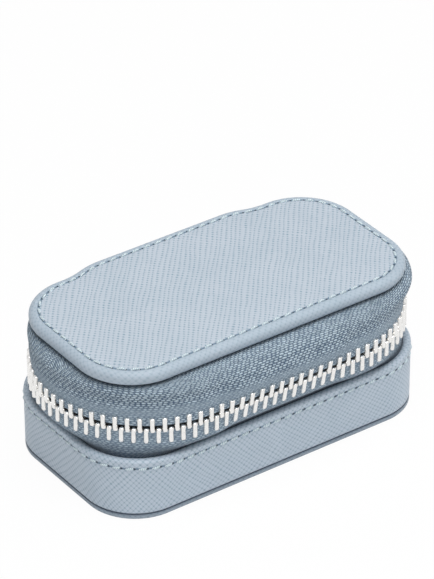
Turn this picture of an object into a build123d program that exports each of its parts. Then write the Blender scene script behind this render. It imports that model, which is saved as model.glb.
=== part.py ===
"""Zip-round jewelry box: a flared leather base, a woven zip band and a padded lid on a soft leather hinge.

The origin is the middle of the base on the surface it stands on. X runs along the box, Y to the back, Z up.
All sizes are in millimetres.
"""

import os
from math import cos, degrees, pi, radians, sin, sqrt

from build123d import *

# Base outline
BASE_LENGTH = 90.0
BASE_WIDTH = 49.0
BASE_CORNER = 13.0
BASE_FLARE = 1.0
RIM_CORNER = 16.5
RIM_HEIGHT = 16.2

# Base layers
BOTTOM_THICK = 1.4
BOTTOM_ROUND = 0.4
WALL_LEATHER = 1.4
WALL_FOOT_ROUND = 0.5
RIM_ROUND = 0.6
FLOOR_BOARD_THICK = 1.2
WALL_BOARD_THICK = 1.5
LINING_THICK = 0.8
TRAY_RIM_DROP = 0.2
LAYER_GAP = 0.05

# Bands of the lofted walls, of the tape's tuck and of rounded edges
WALL_BANDS = 5
TUCK_BANDS = 2
ROUND_BANDS = 3

# Inside of the tray
DIVIDER_THICK = 2.0
DIVIDER_DROP = 1.6
DIVIDER_ROUND = 0.9
RING_ROLLS = 4
ROLL_RISE = 1.3
ROLL_GAP = 0.3

# Zip band
TAPE_THICK = 0.6
TAPE_TUCK = 7.0
TAPE_EDGE = 0.55
ZIP_BELLY = 1.25
ZIP_RISE = 7.5
END_FLAT = 0.2
BELLY_BANDS = 4

# Zip teeth
TOOTH_PITCH = 2.78
TOOTH_DEPTH = 2.3
TOOTH_REACH = 3.35
TOOTH_OVERLAP = 0.55
LEG_FLARE = 0.08
NIB_LENGTH = 0.38
NIB_HEIGHT = 0.45
NIB_GAP = 0.1
CLAMP_GAP = 0.05
ROW_END_GAP = 1.5

# Slider and pull tab
SLIDER_LENGTH = 9.0
SLIDER_PLATE = 0.8
SLIDER_PLAY = 0.2
SLIDER_EDGE = 0.25
SLIDER_NOSE_ROUND = 2.6
SLIDER_TAIL_ROUND = 0.8
FLANGE_THICK = 0.65
POST_LENGTH = 2.8
POST_SETBACK = 0.4
PARK_GAP = 1.0
ROW_START_GAP = 1.2
CROWN_BORE = 0.85
CROWN_THICK = 1.1
CROWN_WIDTH = 1.8
CROWN_STAND = 1.3
PULL_BAR = 1.1
PULL_PLAY = 0.3
PULL_SIDE = 0.9
PULL_LENGTH = 17.0
PULL_WIDTH = 5.2
PULL_ROUND = 1.8
PULL_EDGE = 0.2

# Lid
LID_RISE = 11.5
LID_END_MARGIN = -0.2
LID_SIDE_MARGIN = -1.7
LID_CORNER = 14.6
LID_THICK = 3.4
LID_LEATHER = 1.0
LIP_WIDTH = 2.0
LIP_TOP_ROUND = 1.6
LIP_UNDER_ROUND = 1.4
LID_BOARD_THICK = 1.5
LID_PAD_THICK = 2.0
LID_PAD_ROUND = 0.9
SEAM_TUCK = 1.5

# Hinge panel and the bump that it makes in the lid's back edge
PANEL_THICK = 1.2
PANEL_GAP = 0.1
PANEL_BELLY = 0.15
HINGE_OUTSET = 0.7
BUMP_DEPTH = 2.0
BUMP_INSET = 3.0
BUMP_LAND = 1.0

# Heights
zip_height = RIM_HEIGHT + ZIP_RISE
lid_under = zip_height + LID_RISE
floor_top = BOTTOM_THICK + FLOOR_BOARD_THICK
tray_floor = floor_top + LINING_THICK
tray_rim = RIM_HEIGHT - TRAY_RIM_DROP
board_top = tray_rim - LINING_THICK
divider_top = tray_rim - DIVIDER_DROP
roll_top = tray_rim + ROLL_RISE
tuck_bottom = RIM_HEIGHT - TAPE_TUCK
slider_half = TOOTH_REACH + SLIDER_PLAY + FLANGE_THICK
zip_straight = slider_half + SLIDER_PLAY

# Insets of the base layers from the outer face of the wall
tape_inset = WALL_LEATHER + LAYER_GAP
board_inset = tape_inset + TAPE_THICK + LAYER_GAP
lining_inset = board_inset + WALL_BOARD_THICK + LAYER_GAP
cavity_inset = lining_inset + LINING_THICK

# Middle line of the zip, a long oval with a very short flat at each end
zip_length = BASE_LENGTH + 2 * (BASE_FLARE + ZIP_BELLY)
zip_width = BASE_WIDTH + 2 * (BASE_FLARE + ZIP_BELLY)
end_radius = (zip_width - END_FLAT) / 2
end_centre = zip_length / 2 - end_radius

# Lid outline, and the two equal arcs that ease the bump into the back edge
lid_length = BASE_LENGTH + 2 * LID_END_MARGIN
lid_width = BASE_WIDTH + 2 * LID_SIDE_MARGIN
seam_inset = LIP_WIDTH + LAYER_GAP
lid_core_inset = seam_inset + TAPE_THICK + LAYER_GAP
bump_flat = end_centre - BUMP_INSET
bump_land = lid_length / 2 - LID_CORNER - BUMP_LAND
ease_radius = ((bump_land - bump_flat) ** 2 + BUMP_DEPTH**2) / (4 * BUMP_DEPTH)

# Hinge panel's middle line where it is tucked into the base and into the rounded ends of the lid's pocket
panel_inset = tape_inset + PANEL_THICK / 2
panel_bend = PANEL_THICK / 2
pocket_ease = ease_radius - seam_inset
pocket_drop = pocket_ease - sqrt(pocket_ease**2 - BUMP_INSET**2)
panel_lid = lid_width / 2 + BUMP_DEPTH - seam_inset - pocket_drop - PANEL_THICK / 2


def base_outline(height, inset):
    """Length, width and corner radius of the flared base at a height, drawn in by an inset."""
    rise = height / RIM_HEIGHT
    spread = 2 * (BASE_FLARE * rise - inset)
    corner = BASE_CORNER + (RIM_CORNER - BASE_CORNER) * rise - inset
    return BASE_LENGTH + spread, BASE_WIDTH + spread, corner


def zip_outline(inset):
    """Length, width and corner radius of the zip's oval, drawn in by an inset."""
    return zip_length - 2 * inset, zip_width - 2 * inset, end_radius - inset


def seam_outline(inset):
    """Length, width and corner radius of a plain rounded outline inside the lid's edge."""
    return lid_length - 2 * inset, lid_width - 2 * inset, LID_CORNER - inset


def between(outline_a, outline_b, share):
    """An outline part of the way from one outline to another."""
    return tuple(a + (b - a) * share for a, b in zip(outline_a, outline_b))


def level_face(height, outline):
    """A flat rounded rectangle at a height."""
    with BuildSketch(Plane.XY.offset(height)) as face:
        RectangleRounded(*outline)
    return face.sketch


def steps(low, high, count):
    """Evenly spaced heights, from low to high."""
    return [low + (high - low) * step / count for step in range(count + 1)]


def base_face(height, inset):
    """A flat section of the base at a height."""
    return level_face(height, base_outline(height, inset))


def base_faces(low, high, inset, bands):
    """Evenly spaced sections of the base, one more than the bands between them."""
    return [base_face(height, inset) for height in steps(low, high, bands)]


def edge_turn(radius):
    """Rise and inset of points round an edge, from the upright wall to where the round lies flat."""
    angles = steps(0, pi / 2, ROUND_BANDS)
    return [(radius * sin(angle), radius * (1 - cos(angle))) for angle in angles]


def foot_faces(low, radius):
    """Sections of the rounded lower edge of a piece of the base."""
    return [base_face(low + radius - rise, inset) for rise, inset in reversed(edge_turn(radius))]


def lower_tape_faces(inset):
    """Sections of the lower tape, from its tuck behind the wall over the belly to its edge at the teeth."""
    oval = zip_outline(inset - TAPE_THICK / 2)
    rim = base_outline(RIM_HEIGHT, tape_inset + inset)
    belly_end = zip_height - zip_straight
    faces = base_faces(tuck_bottom, RIM_HEIGHT, tape_inset + inset, TUCK_BANDS)
    for share in steps(0, 1, BELLY_BANDS)[1:]:
        height = RIM_HEIGHT + (belly_end - RIM_HEIGHT) * share
        faces.append(level_face(height, between(rim, oval, sin(share * pi / 2))))
    faces.append(level_face(zip_height - TAPE_EDGE, oval))
    return faces


def upper_tape_faces(inset):
    """Sections of the upper tape, from its edge at the teeth over the belly into the lid's seam."""
    oval = zip_outline(inset - TAPE_THICK / 2)
    seam = seam_outline(seam_inset + inset)
    belly_start = zip_height + zip_straight
    faces = [level_face(height, oval) for height in (zip_height + TAPE_EDGE, belly_start)]
    for angle in steps(0, pi / 2, BELLY_BANDS)[1:]:
        height = belly_start + (lid_under - belly_start) * sin(angle)
        faces.append(level_face(height, between(oval, seam, 1 - cos(angle))))
    faces.append(level_face(lid_under + SEAM_TUCK, seam))
    return faces


def base_back(height, inset):
    """How far back the base reaches at a height, drawn in by an inset."""
    return base_outline(height, inset)[1] / 2


def panel_room():
    """The side view of the space behind the base wall that the hinge panel needs."""
    inner = tape_inset + PANEL_THICK + LAYER_GAP
    low = tuck_bottom - LAYER_GAP
    with BuildSketch(Plane.YZ) as room:
        with BuildLine():
            Polyline(
                (base_back(low, inner), low),
                (zip_width, low),
                (zip_width, RIM_HEIGHT),
                (base_back(RIM_HEIGHT, inner), RIM_HEIGHT),
                close=True,
            )
        make_face()
    return room.sketch


def lid_face(height, inset):
    """The lid's outline with the bump along its back, drawn in by an inset."""
    half, back, corner = lid_length / 2, lid_width / 2, LID_CORNER
    flat, land, bump = bump_flat, bump_land, back + BUMP_DEPTH
    with BuildSketch(Plane.XY.offset(height)) as face:
        with BuildLine():
            Line((0, -back), (half - corner, -back))
            TangentArc((half - corner, -back), (half, corner - back), tangent=(1, 0))
            Line((half, corner - back), (half, back - corner))
            TangentArc((half, back - corner), (half - corner, back), tangent=(0, 1))
            Line((half - corner, back), (land, back))
            ease = TangentArc((land, back), ((land + flat) / 2, (back + bump) / 2), tangent=(-1, 0))
            TangentArc(ease @ 1, (flat, bump), tangent=ease % 1)
            Line((flat, bump), (0, bump))
            mirror(about=Plane.YZ)
        make_face()
        if inset:
            offset(amount=-inset)
    return face.sketch


os.makedirs("parts", exist_ok=True)

# Bottom panel
with BuildPart() as bottom_panel:
    loft(foot_faces(0, BOTTOM_ROUND) + [base_face(BOTTOM_THICK, 0)], ruled=True)
bottom_panel.part.label = "bottom_panel"
export_step(bottom_panel.part, "parts/bottom_panel.step")

# Leather wall of the base, with its turned rim
with BuildPart() as base_wall:
    rim_start = RIM_HEIGHT - RIM_ROUND
    outer_rim = [base_face(rim_start + rise, inset) for rise, inset in edge_turn(RIM_ROUND)]
    inner_rim = [base_face(rim_start + rise, WALL_LEATHER - inset) for rise, inset in edge_turn(RIM_ROUND)]
    outer_wall = base_faces(BOTTOM_THICK + WALL_FOOT_ROUND, rim_start, 0, WALL_BANDS)
    inner_wall = base_faces(BOTTOM_THICK, rim_start, WALL_LEATHER, WALL_BANDS)
    loft(foot_faces(BOTTOM_THICK, WALL_FOOT_ROUND) + outer_wall[1:-1] + outer_rim, ruled=True)
    loft(inner_wall[:-1] + inner_rim, ruled=True, mode=Mode.SUBTRACT)
base_wall.part.label = "base_wall"
export_step(base_wall.part, "parts/base_wall.step")

# Stiff card on the bottom panel
with BuildPart() as floor_board:
    loft([base_face(BOTTOM_THICK, tape_inset), base_face(floor_top, tape_inset)], ruled=True)
floor_board.part.label = "floor_board"
export_step(floor_board.part, "parts/floor_board.step")

# Stiff card ring inside the wall, thinner at the back where the hinge panel is tucked in
with BuildPart() as wall_board:
    loft(base_faces(floor_top, board_top, board_inset, WALL_BANDS), ruled=True)
    inner_inset = board_inset + WALL_BOARD_THICK
    loft(base_faces(floor_top, board_top, inner_inset, WALL_BANDS), ruled=True, mode=Mode.SUBTRACT)
    extrude(panel_room(), amount=end_centre, both=True, mode=Mode.SUBTRACT)
wall_board.part.label = "wall_board"
export_step(wall_board.part, "parts/wall_board.step")

# Velvet tray, whose rim covers the top of the card
with BuildPart() as tray_lining:
    loft(base_faces(floor_top, board_top, lining_inset, WALL_BANDS), ruled=True)
    loft([base_face(board_top, board_inset), base_face(tray_rim, board_inset)], ruled=True)
    loft(base_faces(tray_floor, tray_rim, cavity_inset, WALL_BANDS), ruled=True, mode=Mode.SUBTRACT)
    extrude(panel_room(), amount=end_centre, both=True, mode=Mode.SUBTRACT)
tray_lining.part.label = "tray_lining"
export_step(tray_lining.part, "parts/tray_lining.step")

# Padded wall between the ring side and the open side
with BuildPart() as tray_divider:
    loft([base_face(height, cavity_inset + LAYER_GAP) for height in (tray_floor, divider_top)], ruled=True)
    with BuildSketch(Plane.XY.offset(tray_floor)):
        Rectangle(DIVIDER_THICK, BASE_WIDTH)
    extrude(amount=divider_top - tray_floor, mode=Mode.INTERSECT)
    fillet(tray_divider.edges().group_by(Axis.Z)[-1].filter_by(Axis.Y), DIVIDER_ROUND)
tray_divider.part.label = "tray_divider"
export_step(tray_divider.part, "parts/tray_divider.step")

# Wall that parts the open side in two
with BuildPart() as cross_divider:
    loft([base_face(height, cavity_inset + LAYER_GAP) for height in (tray_floor, divider_top)], ruled=True)
    with BuildSketch(Plane.XY.offset(tray_floor)):
        with Locations((-DIVIDER_THICK / 2 - LAYER_GAP, 0)):
            Rectangle(BASE_LENGTH, DIVIDER_THICK, align=(Align.MAX, Align.CENTER))
    extrude(amount=divider_top - tray_floor, mode=Mode.INTERSECT)
    fillet(cross_divider.edges().group_by(Axis.Z)[-1].filter_by(Axis.X), DIVIDER_ROUND)
cross_divider.part.label = "cross_divider"
export_step(cross_divider.part, "parts/cross_divider.step")

# Foam rolls that hold rings between them, cut to the rounded end of the tray
rolls_start = DIVIDER_THICK / 2 + ROLL_GAP
rolls_end = base_outline(tray_floor, cavity_inset)[0] / 2 - ROLL_GAP
roll_pitch = (rolls_end - rolls_start) / RING_ROLLS
roll_radius = (roll_pitch - ROLL_GAP) / 2
for number in range(RING_ROLLS):
    roll_middle = rolls_start + roll_pitch * (number + 0.5)
    roll_left = roll_middle - roll_radius
    roll_right = roll_middle + roll_radius
    roll_shoulder = roll_top - roll_radius
    with BuildPart() as ring_roll:
        loft(base_faces(tray_floor, roll_top, cavity_inset + ROLL_GAP, WALL_BANDS), ruled=True)
        with BuildSketch(Plane.XZ) as roll_profile:
            with BuildLine():
                left = Line((roll_left, tray_floor), (roll_left, roll_shoulder))
                crown = ThreePointArc(left @ 1, (roll_middle, roll_top), (roll_right, roll_shoulder))
                right = Line(crown @ 1, (roll_right, tray_floor))
                Line(right @ 1, left @ 0)
            make_face()
        extrude(amount=BASE_WIDTH, both=True, mode=Mode.INTERSECT)
    ring_roll.part.label = f"ring_roll_{number + 1}"
    export_step(ring_roll.part, f"parts/{ring_roll.part.label}.step")

# Lower tape, open at the back where the hinge panel stands
with BuildPart() as lower_zip_tape:
    loft(lower_tape_faces(0), ruled=True)
    loft(lower_tape_faces(TAPE_THICK), ruled=True, mode=Mode.SUBTRACT)
    with BuildSketch(Plane.XY):
        Rectangle(2 * end_centre, zip_width, align=(Align.CENTER, Align.MIN))
    extrude(amount=lid_under, mode=Mode.SUBTRACT)
lower_zip_tape.part.label = "lower_zip_tape"
export_step(lower_zip_tape.part, "parts/lower_zip_tape.step")

# Middle line of the teeth, from the hinge panel round the right end, along the front and round the left end
with BuildLine(Plane.XY.offset(zip_height)) as tooth_path:
    right_back = CenterArc((end_centre, END_FLAT / 2), end_radius, 90, -90)
    right_front = CenterArc((end_centre, -END_FLAT / 2), end_radius, 0, -90)
    left_front = CenterArc((-end_centre, -END_FLAT / 2), end_radius, -90, -90)
    left_back = CenterArc((-end_centre, END_FLAT / 2), end_radius, 180, -90)
    Line(right_back @ 1, right_front @ 0)
    Line(right_front @ 1, left_front @ 0)
    Line(left_front @ 1, left_back @ 0)
tooth_run = tooth_path.wire()


def tooth_place(travel):
    """Where a tooth stands after a travel along the path: its X along the run, its Y outwards."""
    middle = tooth_run.position_at(travel, position_mode=PositionMode.LENGTH)
    along = tooth_run.tangent_at(travel, position_mode=PositionMode.LENGTH)
    return Plane(origin=middle, x_dir=along, z_dir=(0, 0, 1)).location


# One tooth: a head whose nib points back along the run, and two legs that clamp the edge of the tape
row_shift = TOOTH_PITCH / 2
tooth_width = row_shift - NIB_LENGTH - NIB_GAP
nib_tip = tooth_width / 2 + NIB_LENGTH
nib_under = TOOTH_OVERLAP - NIB_HEIGHT
leg_side = tooth_width / 2 + LEG_FLARE
with BuildPart() as lower_tooth:
    with BuildSketch(Plane.XZ):
        with BuildLine():
            Polyline(
                (-leg_side, -TOOTH_REACH),
                (leg_side, -TOOTH_REACH),
                (tooth_width / 2, TOOTH_OVERLAP),
                (-nib_tip, TOOTH_OVERLAP),
                (-nib_tip, nib_under),
                (-tooth_width / 2, nib_under - NIB_LENGTH),
                close=True,
            )
        make_face()
    extrude(amount=TOOTH_DEPTH / 2, both=True)
    with BuildSketch(Plane.XY.offset(-TAPE_EDGE)):
        Rectangle(TOOTH_PITCH, TAPE_THICK + 2 * CLAMP_GAP)
    extrude(amount=-TOOTH_REACH, mode=Mode.SUBTRACT)
upper_tooth = lower_tooth.part.mirror(Plane.XY)

# Slider place: it is parked at the closed end of the zip, beside the hinge panel
slider_middle = PANEL_GAP + PARK_GAP + SLIDER_LENGTH / 2
slider_angle = radians(90) - slider_middle / end_radius
slider_out = Vector(cos(slider_angle), sin(slider_angle), 0)
slider_along = Vector(-sin(slider_angle), cos(slider_angle), 0)
slider_axis = Vector(end_centre, 0, zip_height)

# Flat faces of the slider that clear the curved rows and tapes all the way along it
half_length = SLIDER_LENGTH / 2
inner_face = sqrt((end_radius - TOOTH_DEPTH / 2) ** 2 - half_length**2) - SLIDER_PLAY
outer_face = end_radius + (END_FLAT + TOOTH_DEPTH) / 2 + SLIDER_PLAY
slot_inner = sqrt((end_radius - TAPE_THICK / 2) ** 2 - half_length**2) - SLIDER_PLAY
slot_outer = end_radius + (END_FLAT + TAPE_THICK) / 2 + SLIDER_PLAY
slider_back = outer_face + SLIDER_PLATE

# Rows of teeth: the lower one runs into the slider, the upper one starts clear of it
row_end = tooth_run.length - ROW_END_GAP
post_start = half_length - POST_SETBACK - POST_LENGTH
lower_start = slider_middle - post_start + nib_tip + SLIDER_PLAY
upper_start = slider_middle + half_length + ROW_START_GAP + tooth_width
lower_count = int((row_end - lower_start) / TOOTH_PITCH) + 1
lower_stops = [lower_start + TOOTH_PITCH * number for number in range(lower_count)]
upper_stops = [stop + row_shift for stop in lower_stops if upper_start <= stop + row_shift <= row_end]

with BuildPart() as lower_zip_teeth:
    with Locations(*[tooth_place(stop) for stop in lower_stops]):
        add(lower_tooth.part)
lower_zip_teeth.part.label = "lower_zip_teeth"
export_step(lower_zip_teeth.part, "parts/lower_zip_teeth.step")

with BuildPart() as upper_zip_teeth:
    with Locations(*[tooth_place(stop) for stop in upper_stops]):
        add(upper_tooth)
upper_zip_teeth.part.label = "upper_zip_teeth"
export_step(upper_zip_teeth.part, "parts/upper_zip_teeth.step")

# Upper tape, open at the back and turned up into the lid where the slider is parked
slider_tail = end_centre + slider_back * cos(slider_angle) + half_length * sin(slider_angle)
with BuildPart() as upper_zip_tape:
    loft(upper_tape_faces(0), ruled=True)
    loft(upper_tape_faces(TAPE_THICK), ruled=True, mode=Mode.SUBTRACT)
    with BuildSketch(Plane.XY.offset(zip_height)):
        Rectangle(2 * end_centre, zip_width, align=(Align.CENTER, Align.MIN))
    extrude(amount=LID_RISE + LID_THICK, mode=Mode.SUBTRACT)
    with BuildSketch(Plane.XY.offset(zip_height)):
        Rectangle(slider_tail + SLIDER_PLAY, zip_width, align=(Align.MIN, Align.MIN))
    extrude(amount=zip_straight + SLIDER_PLAY, mode=Mode.SUBTRACT)
upper_zip_tape.part.label = "upper_zip_tape"
export_step(upper_zip_tape.part, "parts/upper_zip_tape.step")


def slider_plane(distance):
    """A plane facing outwards at a distance from the axis of the zip's right end: X along the run, Y up."""
    return Plane(origin=slider_axis + slider_out * distance, x_dir=slider_along, z_dir=slider_out)


# Slider: two plates, flanges that leave a slot for the tape, a post that parts the rows, and the crown
post_width = 2 * (TAPE_EDGE - SLIDER_PLAY)
flange_start = SLIDER_TAIL_ROUND - half_length
flange_end = half_length - SLIDER_NOSE_ROUND
crown_outer = CROWN_BORE + CROWN_THICK
crown_axis = slider_back + CROWN_STAND
with BuildPart() as zip_slider:
    for plate_start in (inner_face - SLIDER_PLATE, outer_face):
        with BuildSketch(slider_plane(plate_start)) as plate:
            Rectangle(SLIDER_LENGTH, 2 * slider_half)
            fillet(plate.vertices().group_by(Axis.X)[0], SLIDER_TAIL_ROUND)
            fillet(plate.vertices().group_by(Axis.X)[-1], SLIDER_NOSE_ROUND)
        extrude(amount=SLIDER_PLATE)
    plates = zip_slider.faces().sort_by(Axis(slider_axis, slider_out))
    chamfer(plates[0].edges() + plates[-1].edges(), SLIDER_EDGE)
    for start, end in ((inner_face, slot_inner), (slot_outer, outer_face)):
        with BuildSketch(slider_plane(start)):
            with Locations(((flange_start + flange_end) / 2, 0)):
                with GridLocations(0, 2 * slider_half - FLANGE_THICK, 1, 2):
                    Rectangle(flange_end - flange_start, FLANGE_THICK)
        extrude(amount=end - start)
    with BuildSketch(slider_plane(inner_face)):
        with Locations((post_start + POST_LENGTH / 2, 0)):
            SlotOverall(POST_LENGTH, post_width)
    extrude(amount=outer_face - inner_face)
    crown_plane = Plane(origin=slider_plane(crown_axis).origin, x_dir=slider_out, z_dir=-slider_along)
    with BuildSketch(crown_plane):
        Circle(crown_outer)
        with Locations((-CROWN_STAND / 2, 0)):
            Rectangle(CROWN_STAND, 2 * crown_outer)
        Circle(CROWN_BORE, mode=Mode.SUBTRACT)
        with Locations((-CROWN_STAND / 2, 0)):
            Rectangle(CROWN_STAND, 2 * CROWN_BORE, mode=Mode.SUBTRACT)
        with Locations((-CROWN_STAND, 0)):
            Rectangle(2 * crown_outer, 2 * crown_outer, align=(Align.MAX, Align.CENTER), mode=Mode.SUBTRACT)
    extrude(amount=CROWN_WIDTH / 2, both=True)
zip_slider.part.label = "zip_slider"
export_step(zip_slider.part, "parts/zip_slider.step")

# Pull tab: a bar under the crown, two side bars and a flared tab with rounded corners
eye_half = CROWN_WIDTH / 2 + PULL_PLAY
eye_width = 2 * (eye_half + PULL_SIDE)
eye_depth = crown_outer + PULL_PLAY
with BuildPart() as pull_tab:
    with BuildSketch(slider_plane(crown_axis)) as tab:
        with BuildLine():
            Polyline(
                (-eye_width / 2, 0),
                (-PULL_WIDTH / 2, -PULL_LENGTH),
                (PULL_WIDTH / 2, -PULL_LENGTH),
                (eye_width / 2, 0),
                close=True,
            )
        make_face()
        fillet(tab.vertices().group_by(Axis.Y)[0], PULL_ROUND)
        with Locations((0, -eye_depth / 2)):
            Rectangle(2 * eye_half, eye_depth, mode=Mode.SUBTRACT)
    extrude(amount=PULL_BAR / 2, both=True)
    sides = pull_tab.faces().sort_by(Axis(slider_axis, slider_out))
    chamfer(sides[0].edges() + sides[-1].edges(), PULL_EDGE)
    with BuildSketch(Plane(origin=slider_plane(crown_axis).origin, x_dir=slider_out, z_dir=slider_along)):
        Circle(PULL_BAR / 2)
    extrude(amount=eye_width / 2, both=True)
pull_tab.part.label = "pull_tab"
export_step(pull_tab.part, "parts/pull_tab.step")

# Hinge panel: leather from behind the base wall, over the belly, into the lid's seam at the bump
with BuildPart() as hinge_panel:
    with BuildSketch(Plane.YZ):
        with BuildLine():
            foot, head = [], []
            for side in (-PANEL_THICK / 2, PANEL_THICK / 2):
                tucked = Line(
                    (base_back(tuck_bottom, panel_inset - side), tuck_bottom),
                    (base_back(RIM_HEIGHT, panel_inset - side), RIM_HEIGHT),
                )
                belly = ThreePointArc(
                    tucked @ 1,
                    (zip_width / 2 + PANEL_BELLY + side, zip_height),
                    (panel_lid + side, lid_under - panel_bend),
                )
                seam = Line(belly @ 1, (panel_lid + side, lid_under + SEAM_TUCK))
                foot.append(tucked @ 0)
                head.append(seam @ 1)
            Line(*foot)
            Line(*head)
        make_face()
    extrude(amount=end_centre - PANEL_GAP, both=True)
hinge_panel.part.label = "hinge_panel"
export_step(hinge_panel.part, "parts/hinge_panel.step")

# Lid cover: leather with a rolled lip round a shallow pocket
with BuildPart() as lid_cover:
    under_end = lid_under + LIP_UNDER_ROUND
    top_start = lid_under + LID_THICK - LIP_TOP_ROUND
    lip_under = [lid_face(under_end - rise, inset) for rise, inset in reversed(edge_turn(LIP_UNDER_ROUND))]
    lip_top = [lid_face(top_start + rise, inset) for rise, inset in edge_turn(LIP_TOP_ROUND)]
    loft(lip_under + lip_top, ruled=True)
    extrude(lid_face(lid_under, LIP_WIDTH), amount=LID_THICK - LID_LEATHER, mode=Mode.SUBTRACT)
lid_cover.part.label = "lid_cover"
export_step(lid_cover.part, "parts/lid_cover.step")

# Stiff card, foam and velvet pad in the lid
with BuildPart() as lid_board:
    extrude(level_face(lid_under, seam_outline(lid_core_inset)), amount=LID_BOARD_THICK)
lid_board.part.label = "lid_board"
export_step(lid_board.part, "parts/lid_board.step")

foam_thick = LID_THICK - LID_LEATHER - LID_BOARD_THICK
with BuildPart() as lid_foam:
    extrude(level_face(lid_under + LID_BOARD_THICK, seam_outline(lid_core_inset)), amount=foam_thick)
lid_foam.part.label = "lid_foam"
export_step(lid_foam.part, "parts/lid_foam.step")

with BuildPart() as lid_lining:
    pad_inset = lid_core_inset + LAYER_GAP
    pad_start = lid_under - LID_PAD_THICK + LID_PAD_ROUND
    pad_turn = reversed(edge_turn(LID_PAD_ROUND))
    pad_faces = [level_face(pad_start - rise, seam_outline(pad_inset + inset)) for rise, inset in pad_turn]
    loft(pad_faces + [level_face(lid_under, seam_outline(pad_inset))], ruled=True)
lid_lining.part.label = "lid_lining"
export_step(lid_lining.part, "parts/lid_lining.step")

print("slider parked at", round(degrees(slider_angle), 3), "degrees round", tuple(slider_axis))
print("lid hinge axis at", (0, zip_width / 2 + HINGE_OUTSET, zip_height))
print("pull axis", tuple(slider_plane(crown_axis).origin), "along", tuple(slider_along))
print("zip run", round(tooth_run.length, 2), "with", len(lower_stops), "and", len(upper_stops), "teeth")
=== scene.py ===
"""Dresses the jewelry box: pale blue cross-grain leather, a woven zip band, silver teeth and velvet inside.

Everything is in metres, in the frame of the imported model: X along the box, Y to the back, Z up.
"""

import logging
from dataclasses import dataclass, field
from enum import Enum
from typing import Any, Mapping, Optional, Sequence, Union

import bmesh
import bpy
import numpy as np
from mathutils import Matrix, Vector


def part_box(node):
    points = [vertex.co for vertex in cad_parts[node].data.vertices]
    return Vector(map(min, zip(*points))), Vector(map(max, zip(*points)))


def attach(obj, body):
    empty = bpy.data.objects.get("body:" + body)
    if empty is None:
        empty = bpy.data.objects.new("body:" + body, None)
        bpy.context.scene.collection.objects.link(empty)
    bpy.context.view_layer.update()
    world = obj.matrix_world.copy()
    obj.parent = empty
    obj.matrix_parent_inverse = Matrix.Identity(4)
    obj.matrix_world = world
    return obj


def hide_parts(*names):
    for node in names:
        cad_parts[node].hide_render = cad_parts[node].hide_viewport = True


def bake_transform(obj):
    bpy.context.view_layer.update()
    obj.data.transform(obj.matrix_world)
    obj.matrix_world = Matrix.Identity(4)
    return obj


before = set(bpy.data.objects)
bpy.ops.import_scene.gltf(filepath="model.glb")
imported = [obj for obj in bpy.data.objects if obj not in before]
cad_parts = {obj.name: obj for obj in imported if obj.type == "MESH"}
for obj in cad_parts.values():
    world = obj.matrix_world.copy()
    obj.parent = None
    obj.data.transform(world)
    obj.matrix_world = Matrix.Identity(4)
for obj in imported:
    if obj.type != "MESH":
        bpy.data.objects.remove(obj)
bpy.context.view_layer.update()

LOG = logging.getLogger("jewelry_box")
MM = 0.001
WELD = 1e-7
Array = np.ndarray
Triple = Colour = tuple[float, float, float]
Material, Piece, Socket = bpy.types.Material, bpy.types.Object, bpy.types.NodeSocket


class Body(str, Enum):
    """The bodies of the box that pieces ride on."""

    BASE = "base"
    LID = "lid"


class GrainMap(Enum):
    """How the leather's cross grain lies on a piece."""

    TOP = "flat from above, with the rolled edge following the outline"
    WALL = "along the outline all over"


def linear(red: int, green: int, blue: int) -> Colour:
    """Turns an 8-bit screen colour into linear light.

    Args:
        red: Red, 0 to 255.
        green: Green, 0 to 255.
        blue: Blue, 0 to 255.

    Returns:
        The colour as three linear values, from the screen's own transfer curve.
    """
    share = np.array([red, green, blue]) / 255
    light = np.where(share <= 0.04045, share / 12.92, ((share + 0.055) / 1.055) ** 2.4)
    return tuple(float(part) for part in light)


def ease(low: float, high: float, value: Array) -> Array:
    """A smooth step from 0 at low to 1 at high: 3t² - 2t³ of the clamped share t."""
    share = np.clip((value - low) / (high - low), 0, 1)
    return share * share * (3 - 2 * share)


def span(start: float, end: float, count: int) -> Array:
    """Evenly spaced values from start up to but not including end."""
    return np.linspace(start, end, count, endpoint=False)


def running_length(points: Array, axis: int) -> Array:
    """Distance travelled along one axis of a grid of points.

    Args:
        points: Grid of points, with coordinates in the last axis.
        axis: The axis that is followed.

    Returns:
        The sum of the step lengths so far, with 0 at the start.
    """
    steps = np.linalg.norm(np.diff(points, axis=axis), axis=-1)
    start = np.zeros_like(np.take(steps, [0], axis=axis))
    return np.concatenate([start, np.cumsum(steps, axis=axis)], axis=axis)


def sampled(stops: Array, travel: Array, values: Array) -> Array:
    """Values at stops along a path, each part read off between its two neighbours.

    Args:
        stops: Distances along the path.
        travel: Distance of each point of the path.
        values: What the path carries at each point, as (count, parts).

    Returns:
        The values at the stops, as (stops, parts).
    """
    return np.stack([np.interp(stops, travel, part) for part in values.T], axis=-1)


def unit(vectors: Array) -> Array:
    """Vectors drawn out or in to length 1."""
    return vectors / np.linalg.norm(vectors, axis=-1, keepdims=True)


def compass(turn: Array) -> Array:
    """Directions in a plane at angles in radians."""
    return np.stack([np.cos(turn), np.sin(turn)], axis=-1)


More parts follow.
